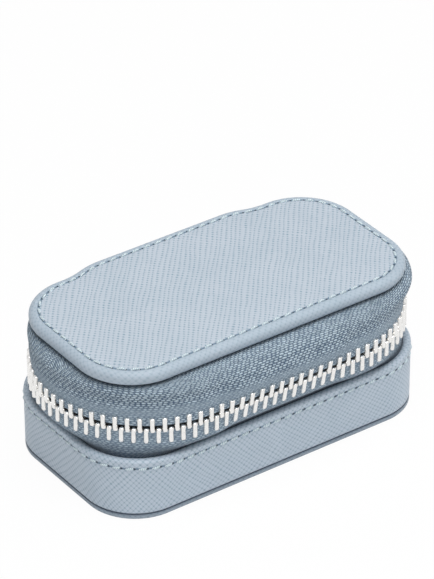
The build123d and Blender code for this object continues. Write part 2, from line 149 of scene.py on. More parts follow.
class Signal:
    """One value in a material's nodes. Arithmetic on it adds Math nodes."""

    def __init__(self, graph: "Graph", socket: Socket) -> None:
        """Wraps an output socket of a graph."""
        self.graph = graph
        self.socket = socket

    def __add__(self, other: "Operand") -> "Signal":
        """Sum of two values."""
        return self.graph.math("ADD", self, other)

    __radd__ = __add__

    def __sub__(self, other: "Operand") -> "Signal":
        """Difference of two values."""
        return self.graph.math("SUBTRACT", self, other)

    def __rsub__(self, other: "Operand") -> "Signal":
        """Difference, with the plain number first."""
        return self.graph.math("SUBTRACT", other, self)

    def __mul__(self, other: "Operand") -> "Signal":
        """Product of two values."""
        return self.graph.math("MULTIPLY", self, other)

    __rmul__ = __mul__

    def __truediv__(self, other: "Operand") -> "Signal":
        """Quotient of two values."""
        return self.graph.math("DIVIDE", self, other)

    def sine(self) -> "Signal":
        """Sine of the value, in radians."""
        return self.graph.math("SINE", self)

    def wave(self) -> "Signal":
        """A wave from 0 to 1 with one turn for each unit of the value."""
        return (self * (2 * np.pi)).sine() * 0.5 + 0.5

    def size(self) -> "Signal":
        """Value without its sign."""
        return self.graph.math("ABSOLUTE", self)

    def floor(self) -> "Signal":
        """Whole part of the value."""
        return self.graph.math("FLOOR", self)

    def fraction(self) -> "Signal":
        """Part of the value after the point."""
        return self.graph.math("FRACT", self)

    def root(self) -> "Signal":
        """Square root of the value."""
        return self.graph.math("SQRT", self)

    def step(self, low: float, high: float) -> "Signal":
        """A smooth step of the value from 0 at low to 1 at high."""
        settings = {"interpolation_type": "SMOOTHSTEP", "clamp": True}
        inputs = {"Value": self, "From Min": low, "From Max": high}
        return Signal(self.graph, self.graph.node("ShaderNodeMapRange", settings, inputs).outputs["Result"])


Operand = Union[Signal, float]


class Graph:
    """The node tree of one material, or of the world."""

    def __init__(self, name: str, world: bool = False) -> None:
        """Starts a material or a world with an empty tree and its output."""
        self.owner = (bpy.data.worlds if world else bpy.data.materials).new(name)
        self.owner.use_nodes = True
        self.tree = self.owner.node_tree
        self.tree.nodes.clear()
        self.output = self.node("ShaderNodeOutputWorld" if world else "ShaderNodeOutputMaterial")

    def node(
        self,
        kind: str,
        settings: Optional[Mapping[str, Any]] = None,
        inputs: Optional[Mapping[Union[str, int], Any]] = None,
    ) -> bpy.types.Node:
        """Adds one node.

        Args:
            kind: Blender's name of the node's type.
            settings: Properties that are set first.
            inputs: Values, sockets or signals for the node's inputs, by name or place.

        Returns:
            The new node.
        """
        made = self.tree.nodes.new(kind)
        for name, value in (settings or {}).items():
            setattr(made, name, value)
        for name, value in (inputs or {}).items():
            self.feed(made.inputs[name], value)
        return made

    def feed(self, socket: Socket, value: Any) -> None:
        """Sets an input to a plain value, or links it to a signal or a socket."""
        value = value.socket if isinstance(value, Signal) else value
        if isinstance(value, Socket):
            self.tree.links.new(value, socket)
        elif hasattr(value, "__len__") and socket.type == "RGBA":
            socket.default_value = (*value, 1.0)[:4]
        else:
            socket.default_value = value

    def math(self, operation: str, *operands: Operand) -> Signal:
        """Adds a Math node and returns its value."""
        node = self.node("ShaderNodeMath", {"operation": operation}, dict(enumerate(operands)))
        return Signal(self, node.outputs[0])

    def larger(self, first: Operand, second: Operand) -> Signal:
        """The larger of two values."""
        return self.math("MAXIMUM", first, second)

    def parts(self, vector: Socket, scale: float) -> tuple[Signal, Signal, Signal]:
        """The three parts of a vector, each times a scale."""
        node = self.node("ShaderNodeSeparateXYZ", None, {0: vector})
        return tuple(Signal(self, socket) * scale for socket in node.outputs)

    def place(self) -> tuple[Signal, Signal, Signal]:
        """Place on the piece in millimetres."""
        return self.parts(self.node("ShaderNodeTexCoord").outputs["Object"], 1 / MM)

    def spot(self) -> Socket:
        """Place on the piece in millimetres, as one vector."""
        return self.vector(*self.place())

    def cloth(self, scale: float = 1 / MM) -> tuple[Signal, Signal]:
        """Way along and across the piece's own surface, in millimetres unless scaled otherwise."""
        return self.parts(self.node("ShaderNodeTexCoord").outputs["UV"], scale)[:2]

    def looked_at(self) -> Signal:
        """1 for rays from the camera, from reflections and through clear pieces, and 0 for all others."""
        rays = self.node("ShaderNodeLightPath").outputs
        kinds = ("Camera", "Glossy", "Transmission")
        camera, glossy, clear = (Signal(self, rays[f"Is {kind} Ray"]) for kind in kinds)
        return self.larger(self.larger(camera, glossy), clear)

    def own(self, name: str) -> Signal:
        """A value that the piece carries at each of its points."""
        return Signal(self, self.node("ShaderNodeAttribute", {"attribute_name": name}).outputs["Fac"])

    def vector(self, x: Operand, y: Operand, z: Operand = 0.0) -> Socket:
        """A vector of three values."""
        return self.node("ShaderNodeCombineXYZ", None, {0: x, 1: y, 2: z}).outputs[0]

    def noise(self, vector: Socket, scale: float, detail: float = 2.0) -> Signal:
        """Soft noise from 0 to 1 about a half."""
        inputs = {"Vector": vector, "Scale": scale, "Detail": detail}
        return Signal(self, self.node("ShaderNodeTexNoise", None, inputs).outputs[0])

    def chance(self, vector: Socket) -> Signal:
        """A random value from 0 to 1, the same wherever the vector is the same."""
        return Signal(self, self.node("ShaderNodeTexWhiteNoise", None, {"Vector": vector}).outputs["Value"])

    def mix(self, share: Operand, first: Any, second: Any) -> Socket:
        """A colour between two colours."""
        node = self.node("ShaderNodeMix", {"data_type": "RGBA"}, {0: share, 6: first, 7: second})
        return node.outputs[2]

    def bump(self, height: Signal, depth: float) -> Socket:
        """A normal tilted by a height of 0 to 1 over a real depth."""
        return self.node("ShaderNodeBump", None, {"Height": height, "Distance": depth}).outputs[0]

    def surface(self, **inputs: Any) -> Material:
        """Ends the tree in a principled surface with these inputs.

        Args:
            inputs: Inputs by name, with _ in place of a space.

        Returns:
            The finished material.
        """
        named = {name.replace("_", " "): value for name, value in inputs.items()}
        return self.end(self.node("ShaderNodeBsdfPrincipled", None, named))

    def end(self, shader: bpy.types.Node) -> Union[Material, bpy.types.World]:
        """Ends the tree in a shader and returns the material or the world."""
        self.feed(self.output.inputs[0], shader.outputs[0])
        return self.owner


@dataclass(frozen=True)
class Seam:
    """A row of stitches: its pitch, and how far the needle holes and the groove reach."""

    pitch: float
    hole: float = 0.5 * MM
    groove: float = 0.5 * MM


@dataclass(frozen=True)
class CrossGrain:
    """Two families of pressed ridges, with a pit in each cell between them."""

    first_angle: float
    second_angle: float
    first_pitch: float = 1.12
    second_pitch: float = 0.93
    wander: float = 0.9

    def lines(self, graph: Graph, x: Signal, y: Signal) -> tuple[Signal, Signal]:
        """Heights of the two families of lines.

        Each is a sine across the line's direction. Noise that is drawn out along the line shifts it, so that
        lines wander and bunch.

        Args:
            graph: The material's nodes.
            x: First coordinate in millimetres.
            y: Second coordinate in millimetres.

        Returns:
            Two heights from 0 to 1.
        """
        made = []
        families = ((self.first_angle, self.first_pitch), (self.second_angle, self.second_pitch))
        for angle, pitch in families:
            turn = np.radians(angle)
            across = y * np.cos(turn) - x * np.sin(turn)
            along = x * np.cos(turn) + y * np.sin(turn)
            drift = graph.noise(graph.vector(across * 0.22, along * 0.05, angle), 1.0, 3.0)
            made.append((across / pitch + drift * (2 * self.wander)).wave())
        return made[0], made[1]


@dataclass(frozen=True)
class LeatherFinish:
    """Cross-grain leather with a waxy print and pits in a deeper tone; painted shade in the sewn groove,
    holes, lip and creases.
    """

    name: str
    tone: Colour
    pit_and_lip_shade_tone: Colour
    groove_shade_tone: Colour
    grain: GrainMap
    seam: Optional[Seam] = None
    pit_share: float = 0.9
    furrow_share: float = 0.14
    # Share of painted shade on a lid's rolled lip.
    lip_shade_share: float = 0.24
    # Whether marked creases get painted shade.
    fold_shaded: bool = False
    cloud_share: float = 0.08
    # Share of painted shade in marked creases.
    fold_shade_share: float = 0.8
    # Shares of painted shade in the sewn groove and in the needle holes.
    groove_shade_share: float = 0.85
    hole_shade_share: float = 0.9
    hole_depth: float = 1.5
    depth: float = 0.07 * MM
    # Painted shade tone in marked creases.
    fold_shade_tone: Colour = linear(48, 64, 84)
    # Painted shade tone in the needle holes.
    hole_shade_tone: Colour = linear(30, 48, 64)

    def material(self) -> Material:
        """Builds the material.

        Returns:
            The leather, whose pits and lines follow its place, or its outline on rolled edges.
        """
        graph = Graph(self.name)
        along, across = graph.cloth()
        wall_lines = CrossGrain(47, 135).lines(graph, along, across)
        if self.grain is GrainMap.TOP:
            x, y, _ = graph.place()
            top_lines = CrossGrain(50, 134).lines(graph, x, y)
            inside = across.step(-0.2, 0.2)
            first, second = (t * inside + w * (1 - inside) for t, w in zip(top_lines, wall_lines))
        else:
            first, second = wall_lines
            inside = 1.0
        fine = graph.noise(graph.vector(along, across), 3.2, 2.0)
        cloud = graph.noise(graph.vector(along, across), 0.09, 2.0)
        pressed = graph.noise(graph.vector(along, across), 0.5, 2.0).step(0.3, 0.62)
        pits = ((1 - first) * (1 - second)).step(0.34, 0.9) * (0.45 + pressed * 0.55)
        furrows = graph.larger(1 - first, 1 - second).step(0.75, 1.0)
        height = graph.larger(first, second) * 0.7 + fine * 0.3
        tone = graph.mix(furrows * self.furrow_share, self.tone, self.pit_and_lip_shade_tone)
        tone = graph.mix(pits * self.pit_share * (0.4 + inside * 0.6), tone, self.pit_and_lip_shade_tone)
        tone = graph.mix(cloud.step(0.35, 0.7) * self.cloud_share, tone, self.pit_and_lip_shade_tone)
        # Painted shade: on the rolled lip outside the seam the colour is darkened towards the pits' tone.
        if self.grain is GrainMap.TOP:
            tone = graph.mix((1 - inside) * self.lip_shade_share, tone, self.pit_and_lip_shade_tone)
        if self.seam:
            tone, height = self.sewn(graph, along, across, tone, height)
        # Painted shade: points marked as lying in a crease are darkened towards a deep blue.
        if self.fold_shaded:
            tone = graph.mix(graph.own("fold_shade") * self.fold_shade_share, tone, self.fold_shade_tone)
        return graph.surface(
            Base_Color=tone,
            Roughness=0.5 + fine * 0.12 - height * 0.1,
            Specular_IOR_Level=0.42,
            Coat_Weight=0.06,
            Coat_Roughness=0.35,
            Normal=graph.bump(height, self.depth),
        )

    def sewn(
        self, graph: Graph, along: Signal, across: Signal, tone: Any, height: Signal
    ) -> tuple[Socket, Signal]:
        """Adds painted shade in the drawn-in seam and its needle holes, which repeat at the stitch pitch and
        dip the relief.

        Args:
            graph: The material's nodes.
            along: Way along the seam in millimetres.
            across: Distance from the seam in millimetres.
            tone: Colour so far.
            height: Relief so far.

        Returns:
            The colour and relief with the seam.
        """
        pitch = self.seam.pitch / MM
        offset = ((along / pitch).fraction() - 0.5).size()
        reach = (0.5 - offset) * pitch
        hole = 1 - (reach * reach + across * across).root().step(0.18, self.seam.hole / MM)
        groove = 1 - across.size().step(0.1, self.seam.groove / MM)
        # Painted shade: the groove and the needle holes are darkened in colour; the holes also dip the
        # relief below.
        tone = graph.mix(groove * self.groove_shade_share, tone, self.groove_shade_tone)
        tone = graph.mix(hole * self.hole_shade_share, tone, self.hole_shade_tone)
        return tone, height - hole * self.hole_depth


class Weave(Enum):
    """The two halves of the zip's tape, seen from outside."""

    UPPER = "bold floats near the lid and a smooth cord beside the teeth"
    LOWER = "plain rows"


@dataclass(frozen=True)
class TapeFinish:
    """Woven tape: floats laid in rows like bricks, each a little lighter or darker than the next."""

    name: str
    weave: Weave
    dark: Colour = linear(66, 90, 116)
    light: Colour = linear(196, 214, 226)
    float_length: float = 1.25
    row: float = 0.56
    shift: float = 0.38
    slip: float = 0.35
    row_wobble: float = 0.6
    run_wobble: float = 0.7
    cord_low: float = 2.4
    cord_high: float = 4.6
    bold_from: float = 4.6
    # Painted light on the upper tape: from and to these distances across from the teeth, and its share.
    painted_light_from: float = 6.0
    painted_light_full: float = 12.5
    painted_light_share: float = 0.14
    # Tone and share of the painted shade on the tape where it is marked, under the lid's lip and over the
    # base's rim.
    fold_shade: Colour = linear(30, 44, 62)
    fold_shade_share: float = 0.75
    even_tone: float = 0.44
    plain_bold: float = 0.55
    depth: float = 0.24 * MM

    def material(self) -> Material:
        """Builds the material.

        Each float is a rounded blob: a half sine along it times a half sine across its row. A row's shift
        grows by a fixed step from row to row. Each float's own number gives it a random tone. Towards the
        lid the upper tape gets painted light, and where marked it gets painted shade.

        Returns:
            The tape.
        """
        graph = Graph(self.name)
        along, across = graph.cloth()
        wobble = graph.noise(graph.vector(along * 0.8, across * 0.8), 1.0, 2.0)
        rows = across / self.row + (wobble - 0.5) * self.row_wobble
        slip = graph.chance(graph.vector(rows.floor(), 3.0)) * self.slip
        run = along / self.float_length + rows.floor() * self.shift + slip + (wobble - 0.5) * self.run_wobble
        blob = (run.fraction() * np.pi).sine() * (rows.fraction() * np.pi).sine()
        chance = graph.chance(graph.vector(run.floor(), rows.floor()))
        bold, painted_light = self.plain_bold, 0.0
        if self.weave is Weave.UPPER:
            cord = across.step(self.cord_low - 0.3, self.cord_low + 0.3)
            cord = cord * (1 - across.step(self.cord_high - 0.4, self.cord_high + 0.6))
            bold = (0.8 + across.step(self.bold_from, self.bold_from + 2.0) * 0.4) * (1 - cord * 0.55)
            # Painted light: the upper tape is lightened towards the lid, where its belly's top would catch
            # the top light.
            painted_light = across.step(self.painted_light_from, self.painted_light_full) * self.painted_light_share
        fibre = graph.noise(graph.vector(along * 0.6, across * 2.5), 4.0, 3.0)
        relief = (blob * (0.6 + chance * 0.8) - 0.4) * bold
        share = self.even_tone + relief + (fibre - 0.5) * 0.4 + painted_light
        height = blob * bold + fibre * 0.2
        tone = graph.mix(share, self.dark, self.light)
        return graph.surface(
            # Painted shade from the marks is mixed into the tape's colour.
            Base_Color=graph.mix(graph.own("fold_shade") * self.fold_shade_share, tone, self.fold_shade),
            Roughness=0.82 - blob * 0.15,
            Specular_IOR_Level=0.25,
            Sheen_Weight=0.12,
            Sheen_Roughness=0.5,
            Normal=graph.bump(height, self.depth),
        )


@dataclass(frozen=True)
class ThreadFinish:
    """Twisted sewing thread."""

    name: str
    light: Colour = linear(238, 247, 249)
    dark: Colour = linear(172, 198, 210)
    turns: float = 5.0
    depth: float = 0.08 * MM

    def material(self) -> Material:
        """Builds the material, whose plies wind once round the thread for each turn along a stitch."""
        graph = Graph(self.name)
        along, around = graph.cloth(1.0)
        ply = (along * self.turns + around * 2).wave()
        return graph.surface(
            Base_Color=graph.mix(ply, self.dark, self.light),
            Roughness=0.62 - ply * 0.2,
            Specular_IOR_Level=0.4,
            Sheen_Weight=0.15,
            Normal=graph.bump(ply, self.depth),
        )


@dataclass(frozen=True)
class MetalFinish:
    """Bright silver metal, tumbled smooth, with a faint haze and small dents."""

    name: str
    tone: Colour = linear(238, 237, 235)
    haze_tone: Colour = linear(206, 207, 209)
    haze: float = 0.2
    depth: float = 0.03 * MM

    def material(self) -> Material:
        """Builds the material."""
        graph = Graph(self.name)
        place = graph.spot()
        cloud = graph.noise(place, 1.4, 3.0)
        dents = graph.noise(place, 2.6, 1.0)
        return graph.surface(
            Base_Color=graph.mix(cloud.step(0.4, 0.75) * 0.25, self.tone, self.haze_tone),
            Metallic=1.0,
            Roughness=self.haze + cloud * 0.12,
            Normal=graph.bump(dents, self.depth),
        )


@dataclass(frozen=True)
class VelvetFinish:
    """Short-pile velvet, whose pile lies this way and that in soft patches."""

    name: str
    deep: Colour = linear(128, 140, 154)
    pale: Colour = linear(170, 181, 192)
    depth: float = 0.12 * MM

    def material(self) -> Material:
        """Builds the material."""
        graph = Graph(self.name)
        place = graph.spot()
        patch = graph.noise(place, 0.12, 3.0).step(0.35, 0.68)
        pile = graph.noise(place, 7.0, 3.0)
        return graph.surface(
            Base_Color=graph.mix(patch * 0.6 + pile * 0.4, self.deep, self.pale),
            Roughness=0.95,
            Specular_IOR_Level=0.15,
            Sheen_Weight=0.5,
            Sheen_Roughness=0.4,
            Normal=graph.bump(pile, self.depth),
        )


@dataclass(frozen=True)
class BoardFinish:
    """Pressed board or foam, flecked with fibres or cells."""

    name: str
    tone: Colour
    fleck: Colour
    grain: float
    depth: float = 0.05 * MM

    def material(self) -> Material:
        """Builds the material."""
        graph = Graph(self.name)
        flecks = graph.noise(graph.spot(), self.grain, 4.0)
        return graph.surface(
            Base_Color=graph.mix(flecks.step(0.4, 0.7), self.tone, self.fleck),
            Roughness=0.92,
            Specular_IOR_Level=0.2,
            Normal=graph.bump(flecks, self.depth),
        )


def grid_piece(
    name: str,
    points: Array,
    cloth: Array,
    material: Material,
    rows_closed: bool = False,
    columns_closed: bool = False,
) -> Piece:
    """Makes a piece from one grid of points, or several equal grids.

    The faces are the cells of the grid, with the last row or column joined to the first where closed. A
    shape that encloses a negative volume is turned so that its faces point outwards.

    Args:
        name: Name of the piece.
        points: Points as (rows, columns, 3), or (copies, rows, columns, 3).
        cloth: Way along and across the surface at each point, with the closing row or column.
        material: Finish of the piece.
        rows_closed: Whether the last row joins the first.
        columns_closed: Whether the last column joins the first.

    Returns:
        The new object, at the origin.
    """
    grids = points if points.ndim == 4 else points[None]
    maps = cloth if cloth.ndim == 4 else cloth[None]
    copies, rows, columns = grids.shape[:3]
    row_cells = rows if rows_closed else rows - 1
    column_cells = columns if columns_closed else columns - 1
    copy, row, column = np.meshgrid(
        np.arange(copies), np.arange(row_cells), np.arange(column_cells), indexing="ij"
    )
    corners = ((0, 0), (0, 1), (1, 1), (1, 0))
    first = copy * rows * columns
    cells = [first + (row + i) % rows * columns + (column + j) % columns for i, j in corners]
    faces = np.stack(cells, axis=-1).reshape(-1, 4)
    uv = np.stack([maps[copy, row + i, column + j] for i, j in corners], axis=-2).reshape(-1, 4, 2)
    flat = grids.reshape(-1, 3)
    a, b, c, d = (flat[faces[:, k]] for k in range(4))
    if np.einsum("ij,ij->", a, np.cross(b, c) + np.cross(c, d)) < 0:
        faces, uv = faces[:, ::-1], uv[:, ::-1]
    mesh = bpy.data.meshes.new(name)
    mesh.from_pydata(flat.tolist(), [], faces.tolist())
    mesh.uv_layers.new(name="Cloth").data.foreach_set("uv", uv.astype(np.float32).ravel())
    work = bmesh.new()
    work.from_mesh(mesh)
    bmesh.ops.remove_doubles(work, verts=work.verts, dist=WELD)
    work.to_mesh(mesh)
    work.free()
    mesh.shade_smooth()
    mesh.materials.append(material)
    piece = bpy.data.objects.new(name, mesh)
    bpy.context.scene.collection.objects.link(piece)
    return piece


def points_of(piece: Piece) -> Array:
    """Places of all points of a piece, as (count, 3)."""
    place = np.empty(len(piece.data.vertices) * 3, np.float32)
    piece.data.vertices.foreach_get("co", place)
    return place.reshape(-1, 3).astype(float)


def mark_fold_shade(piece: Piece, depth: Array) -> None:
    """Marks how deep each point of a piece lies in a crease or a seam, as its share of painted shade.

    Args:
        piece: The piece.
        depth: Depth of each point in the crease, 0 to 1, which is its share of painted shade.
    """
    mark = piece.data.attributes.new("fold_shade", "FLOAT", "POINT")
    mark.data.foreach_set("value", depth.astype(np.float32))


def surface_map(points: Array, columns_closed: bool = False, zero_row: int = 0) -> Array:
    """Way along and across a grid of points.

    The way along is the length of one chosen row, the same in every row, so that what follows a seam lines
    up. The way across is each column's length from that row.

    Args:
        points: Points as (rows, columns, 3).
        columns_closed: Whether to add the closing column.
        zero_row: The row that both ways are measured on and from.

    Returns:
        The two ways at each point.
    """
    grid = np.concatenate([points, points[:, :1]], axis=1) if columns_closed else points
    along = running_length(grid[zero_row : zero_row + 1], 1)
    across = running_length(grid, 0)
    across = across - across[zero_row]
    return np.stack([np.broadcast_to(along, across.shape), across], axis=-1)


@dataclass(frozen=True)
class PlanRing:
    """Columns of a rounded rectangle: shares of the corner centre's place and directions on the corner.

    A point is run times the corner centre's X, plus fan times a fixed end's X, plus the corner radius along
    the direction, and the same with rise in Y.
    """

    run: Array
    fan: Array
    rise: Array
    direction: Array

    @classmethod
    def of_pieces(cls, pieces: Sequence[tuple[float, ...]], counts: Sequence[int], last: bool) -> "PlanRing":
        """Joins straight and round stretches into one ring.

        Args:
            pieces: For each stretch, start and end of run, fan, rise and the direction's angle in degrees.
            counts: Columns in each stretch.
            last: Whether the end of the last stretch is a column too.

        Returns:
            The ring.
        """
        table = np.array(pieces, float).reshape(-1, 4, 2)
        parts = [
            span(0, 1, count)[:, None] * (piece[:, 1] - piece[:, 0]) + piece[:, 0]
            for piece, count in zip(table, counts)
        ]
        if last:
            parts.append(table[-1:, :, 1])
        run, fan, rise, angle = np.concatenate(parts).T
        return cls(run, fan, rise, compass(np.radians(angle)))

    @classmethod
    def around(cls, straight: int = 120, end: int = 36, corner: int = 40) -> "PlanRing":
        """A closed ring that starts in the middle of the front and goes round by the right."""
        pieces = (
            (0, 1, 0, 0, -1, -1, -90, -90),
            (1, 1, 0, 0, -1, -1, -90, 0),
            (1, 1, 0, 0, -1, 1, 0, 0),
            (1, 1, 0, 0, 1, 1, 0, 90),
            (1, -1, 0, 0, 1, 1, 90, 90),
            (-1, -1, 0, 0, 1, 1, 90, 180),
            (-1, -1, 0, 0, 1, -1, 180, 180),
            (-1, -1, 0, 0, -1, -1, 180, 270),
            (-1, 0, 0, 0, -1, -1, 270, 270),
        )
        counts = (straight // 2, corner, end, corner, straight, corner, end, corner, straight // 2)
        return cls.of_pieces(pieces, counts, last=False)

    @classmethod
    def zip_run(cls, fan: int = 16, corner: int = 70, end: int = 2, straight: int = 110) -> "PlanRing":
        """An open run from the right end of the hinge, round by the front, to its left end."""
        pieces = (
            (0, 1, 1, 0, 1, 1, 90, 90),
            (1, 1, 0, 0, 1, 1, 90, 0),
            (1, 1, 0, 0, 1, -1, 0, 0),
            (1, 1, 0, 0, -1, -1, 0, -90),
            (1, -1, 0, 0, -1, -1, -90, -90),
            (-1, -1, 0, 0, -1, -1, -90, -180),
            (-1, -1, 0, 0, -1, 1, -180, -180),
            (-1, -1, 0, 0, 1, 1, -180, -270),
            (-1, 0, 0, -1, 1, 1, -270, -270),
        )
        counts = (fan, corner, end, corner, straight, corner, end, corner, fan)
        return cls.of_pieces(pieces, counts, last=True)

    def points(self, outline: Array, height: Array, fixed_end: float = 0.0) -> Array:
        """Points of several rounded rectangles, one for each row.

        Args:
            outline: Length, width and corner radius, as (rows, 3).
            height: Height of each row.
            fixed_end: X of the fixed end that fan refers to.

        Returns:
            Points as (rows, columns, 3).
        """
        length, width, corner = (outline[:, k, None] for k in range(3))
        x = self.run * (length / 2 - corner) + self.fan * fixed_end + self.direction[:, 0] * corner
        y = self.rise * (width / 2 - corner) + self.direction[:, 1] * corner
        return np.stack([x, y, np.broadcast_to(height[:, None], x.shape)], axis=-1)


def filled(rim: Array, reach: float, shares: Array, heights: Array) -> Array:
    """Rows that draw a ring in to a line along the middle, to close a top or a bottom.

    Each row lies a share of the way from the ring to the nearest point of a line along X.

    Args:
        rim: Ring of points, as (columns, 3).
        reach: Half length of the line.
        shares: Share of each row, 1 on the line.
        heights: Height of each row.

    Returns:
        Points as (rows, columns, 3).
    """
    middle = np.stack([np.clip(rim[:, 0], -reach, reach), np.zeros(len(rim)), rim[:, 2]], axis=-1)
    rows = rim + (middle - rim) * shares[:, None, None]
    rows[..., 2] = heights[:, None]
    return rows


def capped(rows: Array, reach: float, first: Array, last: Array) -> Array:
    """Closes both ends of a stack of rings.

    Args:
        rows: Rings of points, as (rows, columns, 3).
        reach: Half length of the middle line that the ends are drawn in to.
        first: Heights of the rows from the middle line out to the first ring.
        last: Heights of the rows from the last ring in to the middle line.

    Returns:
        The rings with the rows that close them.
    """
    shares = np.linspace(0, 1, len(first))
    start, end = filled(rows[0], reach, shares[::-1], first), filled(rows[-1], reach, shares, last)
    return np.concatenate([start[:-1], rows, end[1:]])


def pushed(points: Array, facing: Array, move: Array) -> Array:
    """Moves points outwards in plan, each by its own distance along its facing direction."""
    return points + np.concatenate([facing * move[..., None], np.zeros((*move.shape, 1))], axis=-1)


def ringed(row: Array) -> Array:
    """A row of points with its first one again at the end."""
    return np.concatenate([row, row[:1]])


def quarter(count: int) -> tuple[Array, Array]:
    """Sine and cosine over a quarter turn."""
    turn = np.linspace(0, np.pi / 2, count)
    return np.sin(turn), np.cos(turn)


@dataclass(frozen=True)
class BoxPlan:
    """The sizes that the pieces of the box share."""

    length: float = 90 * MM
    width: float = 49 * MM
    foot_corner: float = 13 * MM
    rim_corner: float = 16.5 * MM
    flare: float = 1 * MM
    bottom: float = 1.4 * MM
    rim: float = 16.2 * MM
    wall: float = 1.4 * MM
    layer_gap: float = 0.05 * MM
    tape: float = 0.6 * MM
    board: float = 1.5 * MM
    lining: float = 0.8 * MM
    zip_belly: float = 1.25 * MM
    zip_height: float = 23.7 * MM
    zip_straight: float = 4.4 * MM
    end_flat: float = 0.2 * MM
    lid_end_margin: float = -0.2 * MM
    lid_side_margin: float = -1.7 * MM
    lid_corner: float = 14.6 * MM
    lid_lip: float = 2.0 * MM

    def base_outline(self, height: Array, inset: Array) -> Array:
        """Length, width and corner radius of the flared base at heights, drawn in by insets."""
        rise = height / self.rim
        spread = 2 * (self.flare * rise - inset)
        corner = self.foot_corner + (self.rim_corner - self.foot_corner) * rise - inset
        return np.stack([self.length + spread, self.width + spread, corner], axis=-1)

    @property
    def zip_size(self) -> Triple:
        """Length, width and end radius of the zip's oval."""
        grown = 2 * (self.flare + self.zip_belly)
        width = self.width + grown
        return self.length + grown, width, (width - self.end_flat) / 2

    @property
    def end_centre(self) -> float:
        """X of the middle of the zip's round ends."""
        length, _, radius = self.zip_size
        return length / 2 - radius

    def zip_outline(self, inset: Array) -> Array:
        """Length, width and end radius of the zip's oval, drawn in by insets."""
        length, width, radius = self.zip_size
        return np.stack([length - 2 * inset, width - 2 * inset, radius - inset], axis=-1)

    def seam_outline(self, inset: Array) -> Array:
        """Length, width and corner radius of a plain outline inside the lid's edge, drawn in by insets."""
        length, width = (2 * half for half in self.lid_half)
        return np.stack([length - 2 * inset, width - 2 * inset, self.lid_corner - inset], axis=-1)

    @property
    def lid_half(self) -> tuple[float, float]:
        """Half the length and half the width of the lid, without its bump."""
        return self.length / 2 + self.lid_end_margin, self.width / 2 + self.lid_side_margin

    def inside_lid(self, points: Array) -> Array:
        """How far points lie inside the lid's plain outline, in plan; negative outside it."""
        reach = np.abs(points[:, :2]) - (np.array(self.lid_half) - self.lid_corner)
        beyond = np.linalg.norm(np.maximum(reach, 0), axis=-1) + np.minimum(reach.max(axis=-1), 0)
        return self.lid_corner - beyond

    @property
    def tape_inset(self) -> float:
        """How far the tape lies inside the wall's outer face."""
        return self.wall + self.layer_gap

    @property
    def board_inset(self) -> float:
        """How far the card lies inside the wall's outer face."""
        return self.tape_inset + self.tape + self.layer_gap

    @property
    def lining_inset(self) -> float:
        """How far the tray's lining lies inside the wall's outer face."""
        return self.board_inset + self.board + self.layer_gap


PLAN = BoxPlan()
LID_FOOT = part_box("lid_cover")[0].z


@dataclass
class Stitching:
    """A row of straight stitches, each a thread that rises from one hole and dives into the next."""

    thread: float = 0.32 * MM
    lift: float = 0.24 * MM
    sink: float = 0.3 * MM
    share: float = 0.78
    slant: float = 8.0
    taper: float = 0.4
    bow: float = 0.5
    flat: float = 0.85
    steps: int = 9
    sides: int = 8

    def grids(self, path: Array, outward: Array, pitch: float) -> tuple[Array, Array]:
        """Stitches along a path.

        A stitch's middle line is a chord of the path, lifted by a flattened half sine, and its section is a
        circle that closes at both ends. The chord is turned a little on the surface, as lockstitches lie.

        Args:
            path: Points along the path, as (count, 3).
            outward: Directions out of the surface at those points.
            pitch: Distance from hole to hole.

        Returns:
            Points as (stitches, steps, sides, 3), and the way along and around each.
        """
        travel = running_length(path, 0)
        count = int(travel[-1] / pitch + 0.5)
        holes = np.linspace(0, travel[-1], count + 1)
        ends, out = sampled(holes, travel, path), sampled(holes, travel, outward)
        start, stop = ends[:-1], ends[1:]
        up = unit(out[:-1] + out[1:])
        along = stop - start
        reach = np.linalg.norm(along, axis=-1, keepdims=True)
        along = along / reach
        side = np.cross(up, along)
        turn = np.radians(self.slant)
        along, side = along * np.cos(turn) + side * np.sin(turn), side * np.cos(turn) - along * np.sin(turn)
        t = np.linspace(0, 1, self.steps)[:, None]
        around = span(0, 2 * np.pi, self.sides)
        arch = np.sin(np.pi * t)
        radius = self.thread * arch**self.taper
        rise = (self.lift + self.sink) * arch**self.bow - self.sink
        x = (t - 0.5) * np.ones_like(around)
        y = radius * np.cos(around)
        z = rise + radius * np.sin(around) * self.flat
        middle = (start + stop) / 2
        points = (
            middle[:, None, None]
            + x[None, ..., None] * (along * reach * self.share)[:, None, None]
            + y[None, ..., None] * side[:, None, None]
            + z[None, ..., None] * up[:, None, None]
        )
        ply = np.stack(np.meshgrid(t[:, 0], np.linspace(0, 1, self.sides + 1), indexing="ij"), axis=-1)
        return points, np.broadcast_to(ply, (count, *ply.shape))

    def sew(self, name: str, rows: Sequence[tuple[Array, Array]], pitch: float, thread: Material) -> Piece:
        """Makes one piece of the stitches along one path or more.

        Args:
            name: Name of the piece.
            rows: For each path, its points and the directions out of the surface there.
            pitch: Distance from hole to hole.
            thread: Finish of the stitches.

        Returns:
            The piece.
        """
        grids, plies = zip(*(self.grids(path, outward, pitch) for path, outward in rows))
        return grid_piece(name, np.concatenate(grids), np.concatenate(plies), thread, columns_closed=True)


def dress(piece: Piece, body: Body, slot: str, *nodes: str) -> Piece:
    """Sets a piece on its body and hides the solids that it stands for.

    Args:
        piece: The piece.
        body: The body that it rides on.
        slot: Name of a material slot; not used.
        nodes: The solids that it replaces.

    Returns:
        The piece.
    """
    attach(piece, body.value)
    if nodes:
        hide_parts(*nodes)
    LOG.info("%s rides on %s", piece.name, body.value)
    return piece


